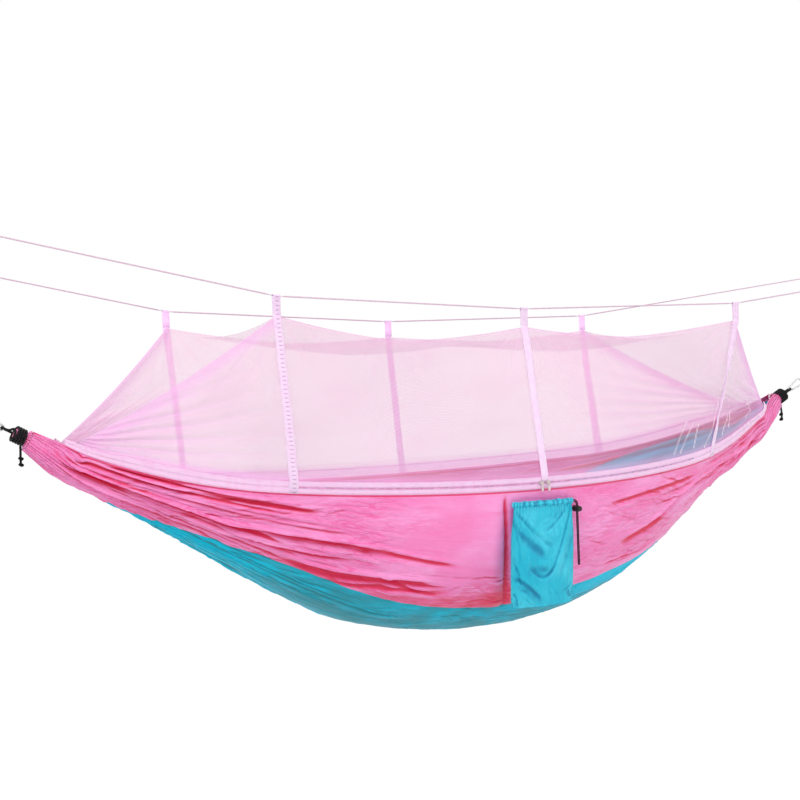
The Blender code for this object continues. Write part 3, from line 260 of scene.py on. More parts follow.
def fabricFinish(name, look):
    made = Finish(name)
    uv, relief, crumple = made.coords("UV"), made.mark("relief"), made.mark("crumple")
    mottle = made.noise(uv, (7, 11, 1), 4.0)
    streaks = made.noise(uv, (7, 60, 1), 3.0)
    colour = made.mix(made.ramp(mottle, 0.35, 0.7), look["colour"], look["pale"])
    colour = made.mix(made.times(made.ramp(streaks, 0.52, 0.8), 0.4), colour, look["shade"])
    # thin dark lines painted along the crumples' creases as painted shade, where the bump below also creases
    # the cloth
    wide = made.away(made.noise(uv, (13, 46, 1), 3.0, 0.5, 0.5), 0.5)
    fine = made.away(made.noise(uv, (34, 125, 1), 2.0, 0.5, 0.7), 0.5)
    lines = made.maths("MAXIMUM", made.ramp(wide, 0.075, 0.0), made.times(made.ramp(fine, 0.10, 0.0), 0.6))
    patches = made.ramp(made.noise(uv, (4, 9, 1), 2.0), 0.38, 0.62)
    lines = made.times(made.times(lines, patches), crumple)
    colour = made.mix(made.times(lines, look["crumpleShade"]), colour, look["shade"])
    # painted highlight on fold crests and painted shade in fold valleys, from the relief mark
    colour = made.mix(made.times(made.ramp(relief, 0.1, 1.0), 0.55), colour, look["pale"])
    colour = made.mix(made.times(made.ramp(relief, -0.05, -0.95), look["foldShade"]), colour, look["deep"])
    rows = made.rows(made.mark("edge"), stitchLook["rows"], stitchLook["half"])
    dash = made.ramp(made.wave(made.parts(uv)[0], stitchLook["dash"]), -0.5, 0.1)
    colour = made.mix(made.times(made.times(rows, dash), 0.6), colour, look["shade"])
    # a painted shadow line just below the rim's band
    tuck = made.near(made.mark("rimAway"), stitchLook["tuck"], stitchLook["bandShadowHalf"])
    colour = made.mix(made.times(tuck, 0.85), colour, look["deep"])
    height = made.plus(made.times(wide, 0.8), made.times(fine, 0.35))
    creased = made.times(height, made.plus(made.times(crumple, 0.9), 0.1))
    normal = made.bump(creased, look["crumpleLift"], 0.014)
    normal = made.bump(made.threads(uv, look["threadPitch"]), 0.10, look["threadPitch"] * 0.25, normal)
    normal = made.bump(rows, 0.5, -0.0005, normal)
    made.give(Base_Color=colour, Normal=normal, Sheen_Weight=look["sheen"], Specular_IOR_Level=look["gloss"])
    made.give(Roughness=made.plus(made.times(made.ramp(mottle, 0.2, 0.9), 0.12), look["roughness"]))
    return made.material


materials = {name: fabricFinish(name, look) for name, look in fabricLooks.items()}

netLook = {
    "colour": (0.95, 0.50, 0.74), "pale": (0.97, 0.58, 0.80), "folds": (0.99, 0.52, 0.88),
    "glint": (0.99, 0.95, 0.98), "veil": 0.23, "threads": 0.09, "folded": 0.46, "pitch": 0.0016,
}


def netFinish():
    made = Finish("insectNet")
    uv, relief, glint = made.coords("UV"), made.mark("relief"), made.mark("glint")
    colour = made.mix(made.ramp(made.noise(uv, (5, 8, 1)), 0.3, 0.7), netLook["colour"], netLook["pale"])
    colour = made.mix(made.ramp(relief, 0.1, 0.6), colour, netLook["folds"])
    colour = made.mix(glint, colour, netLook["glint"])
    covered = made.times(made.ramp(made.threads(uv, netLook["pitch"]), -0.2, 0.9), netLook["threads"])
    veil = made.plus(made.plus(covered, netLook["veil"]), made.times(relief, netLook["folded"]))
    cloudy = made.times(made.ramp(made.noise(uv, (3, 5, 1), 4.0), 0.35, 0.75), 0.04)
    veil = made.plus(made.plus(veil, cloudy), made.times(glint, 0.5))
    normal = made.bump(made.noise(uv, (9, 30, 1), 4.0, 0.6), 0.3, 0.01)
    made.give(Base_Color=colour, Alpha=veil, Normal=normal, Roughness=0.8, Sheen_Weight=0.5)
    return made.material


materials["insectNet"] = netFinish()

# ticks across a strap: their pitch along it, and their middle and reach across it
tickLook = {"pitch": 0.0105, "middle": 0.0115, "reach": 0.0062}
# webbing: thread is how dark its stitches are; the last number is a painted glow, an emission standing in
# for daylight through the weave
webbingLooks = {
    "rimWebbing": {
        "colour": (0.99, 0.56, 0.86), "shade": (0.97, 0.49, 0.80), "ribs": 0.0016, "rows": (0.0015, 0.0110),
        "dash": 0.0042, "thread": 0.25, "through": 0.08,
    },
    "strapWebbing": {
        "colour": (0.99, 0.69, 0.98), "shade": (0.97, 0.62, 0.94), "ribs": 0.0022, "rows": (0.0025, 0.0175),
        "dash": 0.0060, "thread": 0.25, "through": 0.05,
    },
    # the far straps' copy, with a stronger painted glow and a slightly deeper colour
    "farGlowWebbing": {
        "colour": (0.99, 0.66, 0.97), "shade": (0.97, 0.58, 0.93), "ribs": 0.0022, "rows": (0.0025, 0.0175),
        "dash": 0.0060, "thread": 0.25, "through": 0.17,
    },
}


def webbingFinish(name, look):
    made = Finish(name)
    uv = made.coords("UV")
    along, across = made.mark("run"), made.parts(uv)[1]
    colour = made.mix(made.ramp(made.noise(uv, (60, 60, 1), 2.0), 0.35, 0.75), look["colour"], look["shade"])
    rows = made.rows(across, look["rows"], 0.0009)
    dash = made.ramp(made.wave(along, look["dash"]), 0.1, 0.5)
    darker = tuple(value * 0.6 for value in look["shade"])
    colour = made.mix(made.times(made.times(rows, dash), look["thread"]), colour, darker)
    tick = made.ramp(made.wave(along, tickLook["pitch"]), 0.5, 0.85)
    tick = made.times(tick, made.near(across, tickLook["middle"], tickLook["reach"]))
    tick = made.times(tick, made.mark("ticked"))
    colour = made.mix(tick, colour, darker)
    normal = made.bump(rows, 0.5, -0.0006)
    normal = made.bump(made.threads(uv, look["ribs"]), 0.35, look["ribs"] * 0.2, normal)
    made.give(Base_Color=colour, Normal=normal, Roughness=0.72, Sheen_Weight=0.3)
    made.give(Subsurface_Weight=0.6, Subsurface_Scale=0.006)
    made.shader.inputs["Subsurface Radius"].default_value = (1, 1, 1)
    # a painted glow: the webbing emits its own colour, standing in for light that passes through it
    made.give(Emission_Color=look["colour"], Emission_Strength=look["through"])
    return made.material


for name, look in webbingLooks.items():
    materials[name] = webbingFinish(name, look)

lineLooks = {
    "paleLine": {
        "colour": (0.80, 0.60, 0.72), "shade": (0.62, 0.42, 0.55), "pitch": 0.0016, "roughness": 0.75,
    },
    "blackRope": {
        "colour": (0.011, 0.010, 0.012), "shade": (0.002, 0.002, 0.003), "pitch": 0.0022, "roughness": 0.75,
    },
}


def lineFinish(name, look):
    made = Finish(name)
    strands = made.noise(made.coords("Object"), (1 / look["pitch"],) * 3, 2.0, 0.5, 1.5)
    colour = made.mix(made.ramp(strands, 0.35, 0.65), look["shade"], look["colour"])
    normal = made.bump(strands, 0.6, look["pitch"] * 0.6)
    made.give(Base_Color=colour, Normal=normal, Roughness=look["roughness"], Specular_IOR_Level=0.25)
    return made.material


for name, look in lineLooks.items():
    materials[name] = lineFinish(name, look)

# metal and plastic: colour, roughness, the size of the grain and whether it is metal
hardLooks = {
    "platedSteel": {"colour": (0.62, 0.62, 0.64), "roughness": 0.22, "grain": 700, "metal": 1.0},
    "zipMetal": {"colour": (0.74, 0.66, 0.64), "roughness": 0.25, "grain": 700, "metal": 1.0},
    "blackPlastic": {"colour": (0.006, 0.006, 0.007), "roughness": 0.4, "grain": 900, "metal": 0.0},
    "zipTeeth": {"colour": (0.99, 0.60, 0.88), "roughness": 0.4, "grain": 1200, "metal": 0.0},
}


def hardFinish(name, look):
    made = Finish(name)
    spot = made.coords("Object")
    fine = made.noise(spot, (look["grain"],) * 3, 4.0)
    broad = made.noise(spot, (90, 90, 90), 2.0)
    darker = tuple(value * 0.75 for value in look["colour"])
    colour = made.mix(made.ramp(broad, 0.35, 0.7), look["colour"], darker)
    made.give(Base_Color=colour, Roughness=made.plus(made.times(fine, 0.22), look["roughness"]))
    made.give(Normal=made.bump(fine, 0.12, 0.0002), Metallic=look["metal"])
    return made.material


for name, look in hardLooks.items():
    materials[name] = hardFinish(name, look)
print("materials made")


# stage: pale floor, white surroundings and soft studio light
stageLook = {
    "floorZ": -1.30, "floorSize": 60, "floorColour": (0.90, 0.90, 0.90), "shadowShare": 0.14, "glow": 1.07,
    "aimHeight": -0.25,
}
lightLook = {
    "world": 0.68,
    "lamps": {
        "keyLamp": {"place": (-1.6, -3.6, 3.4), "size": (3.0, 2.2), "power": 112},
        "fillLamp": {"place": (4.6, -3.4, 1.6), "size": (2.6, 2.6), "power": 40},
        "backLamp": {"place": (1.2, 3.8, 3.0), "size": (3.2, 2.0), "power": 56},
    },
}


def seenStraight(nodes, links):
    # 1 for rays that reach the camera straight, by reflection or through a clear body
    path = nodes.new("ShaderNodeLightPath")
    total = path.outputs["Is Camera Ray"]
    for word in ("Is Glossy Ray", "Is Transmission Ray"):
        node = nodes.new("ShaderNodeMath")
        node.operation = "MAXIMUM"
        links.new(total, node.inputs[0])
        links.new(path.outputs[word], node.inputs[1])
        total = node.outputs[0]
    return total


def makeStage():
    world = bpy.data.worlds.new("softStudio")
    bpy.context.scene.world = world
    world.use_nodes = True
    nodes, links = world.node_tree.nodes, world.node_tree.links
    strength = nodes.new("ShaderNodeMapRange")
    strength.inputs["To Min"].default_value = lightLook["world"]
    strength.inputs["To Max"].default_value = 1.0
    links.new(seenStraight(nodes, links), strength.inputs["Value"])
    nodes["Background"].inputs["Color"].default_value = (1, 1, 1, 1)
    links.new(strength.outputs["Result"], nodes["Background"].inputs["Strength"])

    bpy.ops.mesh.primitive_plane_add(
        size=stageLook["floorSize"], location=(bed["centreX"], 0, stageLook["floorZ"])
    )
    floor = bpy.context.object
    floor.name = "studioFloor"
    made = Finish("paleFloor")
    made.give(Base_Color=stageLook["floorColour"], Roughness=0.9)
    glow = made.nodes.new("ShaderNodeEmission")
    glow.inputs["Color"].default_value = (1, 1, 1, 1)
    glow.inputs["Strength"].default_value = stageLook["glow"]
    blend = made.nodes.new("ShaderNodeMixShader")
    white = made.times(seenStraight(made.nodes, made.links), 1 - stageLook["shadowShare"])
    made.feed(blend.inputs[0], white)
    made.links.new(made.shader.outputs[0], blend.inputs[1])
    made.links.new(glow.outputs[0], blend.inputs[2])
    made.links.new(blend.outputs[0], made.nodes["Material Output"].inputs["Surface"])
    floor.data.materials.append(made.material)

    for name, look in lightLook["lamps"].items():
        bpy.ops.object.light_add(type="AREA", location=look["place"])
        lamp = bpy.context.object
        lamp.name = name
        lamp.data.shape = "RECTANGLE"
        lamp.data.size, lamp.data.size_y = look["size"]
        lamp.data.energy = look["power"]
        aim = Vector((bed["centreX"], 0, stageLook["aimHeight"])) - Vector(look["place"])
        lamp.rotation_euler = aim.to_track_quat("-Z", "Y").to_euler()
    bpy.context.scene.view_settings.view_transform = "Standard"
    print("stage set")


makeStage()


# helpers that make pieces
def makeActive(piece):
    bpy.ops.object.select_all(action="DESELECT")
    piece.select_set(True)
    bpy.context.view_layer.objects.active = piece


def thicken(piece, thickness, offset=0.0):
    wall = piece.modifiers.new("clothThickness", "SOLIDIFY")
    wall.thickness = thickness
    wall.offset = offset
    makeActive(piece)
    bpy.ops.object.modifier_apply(modifier=wall.name)


def finishPiece(piece, material, angle=None):
    piece.data.materials.clear()
    piece.data.materials.append(materials[material])
    makeActive(piece)
    if angle is None:
        bpy.ops.object.shade_smooth()
    else:
        bpy.ops.object.shade_smooth_by_angle(angle=math.radians(angle))
    return piece


def tidyMesh(piece, weld=1e-6, fill=None):
    # weld the seam of a rolled sheet, close the holes that fill picks and turn the faces outward
    shape = bmesh.new()
    shape.from_mesh(piece.data)
    bmesh.ops.remove_doubles(shape, verts=shape.verts, dist=weld)
    if fill is not None:
        bmesh.ops.holes_fill(shape, edges=[edge for edge in shape.edges if edge.is_boundary and fill(edge)])
    bmesh.ops.recalc_face_normals(shape, faces=shape.faces)
    shape.to_mesh(piece.data)
    shape.free()


def clothGrid(name, longSteps, crossSteps, place, uvSize):
    # place gives the points, in the hammock's frame, and the marks that the materials read
    bpy.ops.mesh.primitive_grid_add(
        x_subdivisions=longSteps, y_subdivisions=crossSteps, size=1, calc_uvs=True
    )
    piece = bpy.context.object
    piece.name = name
    mesh = piece.data
    flat = np.empty(len(mesh.vertices) * 3)
    mesh.vertices.foreach_get("co", flat)
    shares = flat.reshape(-1, 3)[:, :2] + 0.5
    points, marks = place(shares[:, 0], shares[:, 1])
    mesh.vertices.foreach_set("co", toWorld(points).ravel())
    loops = np.empty(len(mesh.loops), int)
    mesh.loops.foreach_get("vertex_index", loops)
    mesh.uv_layers[0].data.foreach_set("uv", (shares[loops] * np.array(uvSize)).ravel())
    for label, values in marks.items():
        spread = np.broadcast_to(np.asarray(values, float), len(shares)).copy()
        mesh.attributes.new(label, "FLOAT", "POINT").data.foreach_set("value", spread)
    mesh.update()
    return piece


def clothSheet(name, longSteps, crossSteps, place, uvSize, thickness, material):
    piece = clothGrid(name, longSteps, crossSteps, place, uvSize)
    if thickness:
        thicken(piece, thickness)
    return finishPiece(piece, material)


def lineCurve(name, points, radius, roundness, closed=False):
    data = bpy.data.curves.new(name, "CURVE")
    data.dimensions = "3D"
    data.bevel_depth = radius
    data.bevel_resolution = roundness
    data.use_fill_caps = not closed
    line = data.splines.new("POLY")
    line.points.add(len(points) - 1)
    for spot, place in zip(line.points, points):
        spot.co = (*place, 1)
    line.use_cyclic_u = closed
    line.use_smooth = True
    curve = bpy.data.objects.new(name, data)
    bpy.context.scene.collection.objects.link(curve)
    return curve


def tubeMesh(name, points, radius, material, sides=12, closed=False):
    makeActive(lineCurve(name, points, radius, sides // 4, closed))
    bpy.ops.object.convert(target="MESH")
    piece = bpy.context.object
    tidyMesh(piece)
    return finishPiece(piece, material, 50)


def cordCurve(name, points, radius, material):
    cord = lineCurve(name, points, radius, 3)
    cord.data.materials.append(materials[material])
    return cord


def dress(piece, node=None):
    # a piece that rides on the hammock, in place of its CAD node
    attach(piece, "hammock")
    if node is not None:
        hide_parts(node)
    return piece


def pathLength(points):
    return float(np.linalg.norm(np.diff(np.asarray(points), axis=0), axis=1).sum())


def smoothPath(points, perStretch):
    knots = [np.asarray(point, float) for point in points]
    knots = [2 * knots[0] - knots[1]] + knots + [2 * knots[-1] - knots[-2]]
    path = []
    for before, start, end, after in zip(knots, knots[1:], knots[2:], knots[3:]):
        for step in range(perStretch):
            share = step / perStretch
            path.append(0.5 * (2 * start + (end - before) * share
                               + (2 * before - 5 * start + 4 * end - after) * share ** 2
                               + (3 * start - before - 3 * end + after) * share ** 3))
    return path + [knots[-2]]


def latticeNoise(x, y, seed, cells=64):
    table = np.random.RandomState(seed).rand(cells, cells)
    column, row = np.floor(x).astype(int), np.floor(y).astype(int)
    fx, fy = smoothStep(x - column, 0, 1), smoothStep(y - row, 0, 1)

    def value(a, b):
        return table[a % cells, b % cells]

    low = blendTo(value(column, row), value(column + 1, row), fx)
    high = blendTo(value(column, row + 1), value(column + 1, row + 1), fx)
    return 2 * blendTo(low, high, fy) - 1


# cords, before every other piece: both ridge lines end in a tied loop just outside the view
ridgeLook = {
    "diameter": 0.0036, "leftReach": 1.36, "rightReach": 1.66, "loopLength": 0.036, "loopHalf": 0.008,
    "loopStart": 0.0075, "knotStart": 0.0024, "knotRadius": 0.0030, "knotLength": 0.0074,
    "knotTurns": 3.125, "knotLine": 0.85,
}


def lineHeight(station):
    stations = (-1.4, leftStrap, middleStrap, rightStrap, 1.7)
    left = net["ridgeZ"][0] + (leftStrap + 1.4) * net["leftSlope"]
    right = net["ridgeZ"][2] + (1.7 - rightStrap) * net["rightSlope"]
    return np.interp(station, stations, (left, *net["ridgeZ"], right))


def ridgeRoute(side):
    half, spacing = 0.010, rightStrap - middleStrap
    stations = [-ridgeLook["leftReach"], -1.12, -0.88]
    for place in net["straps"]:
        stations += [place - 2.5 * half, place - half, place, place + half, place + 2.5 * half]
        if place != rightStrap:
            stations += [place + 0.33 * spacing, place + 0.67 * spacing]
    stations += [0.95, 1.20, 1.43, ridgeLook["rightReach"]]
    reach = side * net["ridgeSpacing"] / 2
    return toWorld([(station, reach, float(lineHeight(station))) for station in stations])


def tiedLoop(name, node, end, direction):
    # a teardrop of line that comes out of a few wound turns
    ahead, beside = unit(direction), np.array([0.0, 1.0, 0.0])
    above = np.cross(ahead, beside)
    length, half, radius = ridgeLook["loopLength"], ridgeLook["loopHalf"], ridgeLook["diameter"] / 2
    first = end + ahead * ridgeLook["loopStart"]
    drop = ((0, 0), (0.30, 0.55), (0.62, 1.0), (0.86, 0.72), (1.0, 0))
    drop += tuple((share, -side) for share, side in drop[-2::-1])
    loop = [first + ahead * share * length + beside * side * half for share, side in drop]
    ring = tubeMesh(name, smoothPath(loop, 6)[:-1], radius, "paleLine", 12, True)
    steps = round(turnSteps * ridgeLook["knotTurns"])
    turns = []
    for step in range(steps + 1):
        turn = math.tau * step / turnSteps
        out = ridgeLook["knotRadius"] * (beside * math.cos(turn) + above * math.sin(turn))
        along = ridgeLook["knotStart"] + ridgeLook["knotLength"] * step / steps
        turns.append(end + ahead * along + out)
    wound = tubeMesh(f"{name}Knot", turns, radius * ridgeLook["knotLine"], "paleLine", 8)
    return [dress(ring, node), dress(wound)]


for word, side in (("near", -1), ("far", 1)):
    route = np.array(smoothPath(ridgeRoute(side), 2))
    line = dress(
        cordCurve(f"{word}RidgeLine", route, ridgeLook["diameter"] / 2, "paleLine"),
        f"ridge_line_{word}",
    )
    ends = tiedLoop(f"{word}LeftLoop", f"ridge_loop_{word}_left", route[0], route[0] - route[1])
    ends += tiedLoop(f"{word}RightLoop", f"ridge_loop_{word}_right", route[-1], route[-1] - route[-2])

# the pouch, which the drawstring comes out of
pouch = {
    "offset": 0.018, "half": 0.093, "height": 0.250, "depth": 0.030, "lean": 0.020, "mouthHalf": 0.009,
    "footHalf": 0.0035, "hemHeight": -0.210, "hemReach": 0.43219, "hemRadius": 0.0052, "mouthShare": 0.93,
    "wall": 0.0008, "tuck": 0.002, "sag": 0.004, "hollow": 0.0035, "gatherLift": 0.0016,
    "crinkle": 0.0009, "gathers": 30,
}
stringLook = {"diameter": 0.003, "strandSpacing": 0.0038, "tail": 0.150, "bend": 0.01015}


def arcInset(station):
    return (arcRadius - np.sqrt(arcRadius ** 2 - station ** 2)) * math.cos(bed["tilt"])


def makeDrawstring():
    endStation = pouch["offset"] + pouch["mouthShare"] * pouch["half"]
    outOfHem = np.array([
        endStation + pouch["hemRadius"] + seatGap, -pouch["hemReach"] + float(arcInset(endStation)),
        pouch["hemHeight"],
    ])
    bend, half, tail = stringLook["bend"], stringLook["strandSpacing"] / 2, stringLook["tail"]
    centre = outOfHem - np.array([0, 0, bend])
    arms = []
    for radius in (bend + half, bend - half):
        quarter = np.linspace(0, math.pi / 2, 9)
        arm = [centre + radius * np.array([math.sin(turn), 0, math.cos(turn)]) for turn in quarter]
        arm += [centre + np.array([radius, 0, -tail * step / 8]) for step in range(1, 9)]
        arms.append(arm)
    bight = [
        centre + np.array([bend + half * math.cos(turn), 0, -tail - half * math.sin(turn)])
        for turn in np.linspace(0, math.pi, 9)[1:-1]
    ]
    route = toWorld(arms[0] + bight + arms[1][::-1])
    string = dress(
        cordCurve("pouchDrawstring", route, stringLook["diameter"] / 2, "blackRope"),
        "pouch_drawstring",
    )


makeDrawstring()
print("cords made")


# the bed's surface: stations run along it, girth shares from the near rim (0) to the far one (1)
# near the gathers the keel rises over its parabola: stations, then rises in metres
endRise = (
    (-1.15, -1.08, -1.0, -0.90, -0.78, -0.65, -0.50, -0.35,
     0.25, 0.42, 0.55, 0.66, 0.75, 0.84, 0.92, 1.02, 1.15),
    (0, 0.004, 0.018, 0.040, 0.052, 0.048, 0.026, 0,
     0, 0.010, 0.030, 0.052, 0.060, 0.044, 0.018, 0, 0),
)


def rimLine(station, start, slope, end, endSlope, arcPart):
    # the rim follows its arc in the middle and a smooth line from there to the gather
    reach = np.abs(station)
    inPlane = arcRadius - np.sqrt(arcRadius ** 2 - np.minimum(reach, bed["arcHalf"]) ** 2)
    length = bed["halfSpan"] - bed["arcHalf"]
    share = np.clip((reach - bed["arcHalf"]) / length, 0, 1)
    leaving = start + arcRadius * (1 - math.cos(bed["arcAngle"])) * arcPart
    beyond = hermite(leaving, end, slope * arcPart, endSlope, length, share)
    return np.where(reach <= bed["arcHalf"], start + inPlane * arcPart, beyond)


def halfWidth(station):
    slope, part = math.tan(bed["arcAngle"]), -math.cos(bed["tilt"])
    return rimLine(station, bed["rimHalf"], slope, bed["rimEndHalf"], 0.9 * slope * part, part)


def rimHeight(station):
    slope, part = math.tan(bed["arcAngle"]), math.sin(bed["tilt"])
    end = -bed["endDepth"] * signedPower(math.cos(bed["closedAngle"]), bed["power"])
    return rimLine(station, -bed["rimDrop"], slope, end, math.tan(bed["hang"]), part)


def keelHeight(station):
    # the cloth drawn into the gathers hangs a little higher there than a plain parabola
    raised = np.interp(station, *endRise)
    return raised - bed["endDepth"] - bed["depth"] * (1 - (station / bed["halfSpan"]) ** 2)


def calmBed(station, share):
    station, share = np.broadcast_arrays(np.asarray(station, float), np.asarray(share, float))
    closing = smoothStep(np.abs(station), bed["halfSpan"] - bed["closing"], bed["halfSpan"])
    reach = blendTo(bed["openAngle"], bed["closedAngle"], closing)
    wide = halfWidth(station) / math.sin(bed["openAngle"]) ** bed["power"]
    keel = keelHeight(station)
    deep = (rimHeight(station) - keel) / (1 - signedPower(np.cos(reach), bed["power"]))
    angle = (2 * share - 1) * reach
    level = -deep * signedPower(np.cos(angle), bed["power"])
    along = station - np.sign(station) * math.tan(bed["hang"]) * closing * level
    return np.stack((along, wide * signedPower(np.sin(angle), bed["power"]), keel + deep + level), axis=-1)


def bedNormal(station, share):
    station, share = np.broadcast_arrays(np.asarray(station, float), np.asarray(share, float))
    edge, step = bed["halfSpan"], 1e-3
    ahead, behind = np.minimum(station + step, edge), np.maximum(station - step, -edge)
    along = calmBed(ahead, share) - calmBed(behind, share)
    across = calmBed(station, np.minimum(share + step, 1)) - calmBed(station, np.maximum(share - step, 0))
    return unit(np.cross(across, along))


girthStations = np.linspace(-bed["halfSpan"], bed["halfSpan"], 161)
girthShares = np.linspace(0, 1, 121)
girthTable = [pathLength(calmBed(np.full(121, station), girthShares)) for station in girthStations]


def girth(station):
    return np.interp(station, girthStations, girthTable)


# folds of the bed's cloth; a measured fold has its stations, its girth shares, its depth and its half
# width in metres
foldLook = {
    "pleats": 23, "pleatHeight": 0.0036, "fanFolds": 170, "creases": 900, "crinkle": 0.0011, "fine": 0.0006,
    "fallWidth": 0.0062, "fallDepth": 0.010, "fallSwell": 0.007, "seed": 7,
}
measuredFolds = (
    ((-1.115, -1.084, -1.044, -1.0, -0.964, -0.934, -0.894, -0.849, -0.794, -0.749, -0.694, -0.649,
      -0.604, -0.56, -0.5, -0.45, -0.39, -0.34),
     (0.27, 0.227, 0.195, 0.187, 0.178, 0.176, 0.171, 0.173, 0.177, 0.180, 0.162, 0.150,
      0.143, 0.134, 0.129, 0.124, 0.127, 0.130), 0.013, 0.010),
    ((-1.12, -1.024, -0.949, -0.889, -0.829, -0.76),
     (0.19, 0.055, 0.038, 0.028, 0.020, 0.018), 0.005, 0.0045),
    ((-1.06, -1.029, -0.969, -0.904, -0.849, -0.754),
     (0.12, 0.083, 0.066, 0.068, 0.064, 0.040), 0.005, 0.0045),
    ((-0.84, -0.794, -0.734, -0.674, -0.614, -0.555, -0.50),
     (0.056, 0.052, 0.047, 0.043, 0.044, 0.050, 0.053), 0.008, 0.008),
    ((-0.62, -0.545, -0.495, -0.435, -0.335, -0.275, -0.21),
     (0.235, 0.233, 0.226, 0.213, 0.198, 0.197, 0.205), 0.010, 0.014),
    ((-0.52, -0.46, -0.37, -0.27, -0.2), (0.262, 0.249, 0.221, 0.217, 0.222), 0.006, 0.007),
    ((-0.72, -0.659, -0.555, -0.475, -0.42), (0.21, 0.202, 0.184, 0.168, 0.16), 0.006, 0.006),
    ((-0.42, -0.39, -0.345, -0.265, -0.17), (0.115, 0.120, 0.127, 0.137, 0.147), 0.005, 0.008),
    ((-0.40, -0.375, -0.3, -0.21), (0.19, 0.193, 0.213, 0.23), 0.005, 0.006),
    ((1.02, 0.93, 0.87, 0.824, 0.734, 0.63, 0.54, 0.51, 0.465, 0.40),
     (0.17, 0.13, 0.115, 0.107, 0.087, 0.082, 0.094, 0.108, 0.122, 0.132), 0.012, 0.009),
    ((1.11, 1.059, 0.99, 0.939, 0.85, 0.74, 0.64),
     (0.33, 0.247, 0.19, 0.163, 0.150, 0.135, 0.12), 0.009, 0.007),
    ((0.66, 0.599, 0.495, 0.385, 0.215), (0.05, 0.045, 0.040, 0.040, 0.047), 0.005, 0.006),
    ((0.52, 0.45, 0.38, 0.30), (0.135, 0.135, 0.14, 0.152), 0.006, 0.014),
    ((0.52, 0.455, 0.345, 0.24), (0.225, 0.220, 0.20, 0.198), 0.004, 0.006),
)


def fanFolds():
    # folds that fan out of both gathers, and short creases all over, the same ones on every run
    random = np.random.RandomState(foldLook["seed"])
    made = []
    for _ in range(foldLook["fanFolds"]):
        side = random.choice((-1, 1))
        start = side * random.uniform(0.74, 1.13)
        share, drift = random.uniform(0.03, 0.97), random.uniform(-0.022, 0.022)
        stations = np.linspace(start, start - side * random.uniform(0.12, 0.62), 4)
        shares = share + drift * np.array([0, 0.5, 0.7, 1.3])
        made.append((stations, shares, random.uniform(0.0012, 0.0034), random.uniform(0.0028, 0.0065)))
    for _ in range(foldLook["creases"]):
        middle = random.uniform(-1.05, 0.95)
        share, half = random.uniform(0.02, 0.98), random.uniform(0.014, 0.055)
        if -0.36 < middle < 0.16 and share < 0.17:
            continue  # the near side hangs smooth beside the pouch
        slant = 0.02 * middle + random.uniform(-0.010, 0.010)
        stations = np.array([middle - half, middle, middle + half])
        shares = share + slant * np.array([-1, 0.2, 1])
        made.append((stations, shares, random.uniform(0.0007, 0.0022), random.uniform(0.0022, 0.0040)))
    return made


allFolds = list(measuredFolds) + fanFolds()
# the deep vertical fold beside the pouch: girth shares, then stations
fallLine = ((0.0, 0.02, 0.063, 0.12, 0.185, 0.25), (-0.087, -0.085, -0.075, -0.062, -0.045, -0.020))


def addFolds(station, share, around, lift, tone):
    # a fold has a lip on its upper side and fades out below
    for stations, shares, depth, width in allFolds:
        order = np.argsort(stations)
        stations, shares = np.asarray(stations)[order], np.asarray(shares)[order]
        length = stations[-1] - stations[0]
        picked = np.nonzero((station > stations[0]) & (station < stations[-1]))[0]
        here, middle = station[picked], np.interp(station[picked], stations, shares)
        ramp = min(0.10, 0.3 * length)
        window = smoothStep(here, stations[0], stations[0] + ramp)
        window = window * (1 - smoothStep(here, stations[-1] - ramp, stations[-1]))
        away = (share[picked] - middle) * around[picked] / width
        away = np.where(share[picked] > 0.5, -away, away)
        valley = hump(away, np.where(away < 0, 0.5, 1.15)) * window
        crest = (0.75 * hump(away + 1.15, 0.6) + 0.35 * hump(away - 2.4, 0.9)) * window
        lift[picked] += depth * (crest - valley)
        # painted shade in the valley below the lip and painted highlight on the crests, stronger for deeper
        # folds
        tone[picked] += min(1.0, (depth / 0.0038) ** 1.2) * (0.55 * crest - 1.25 * valley)


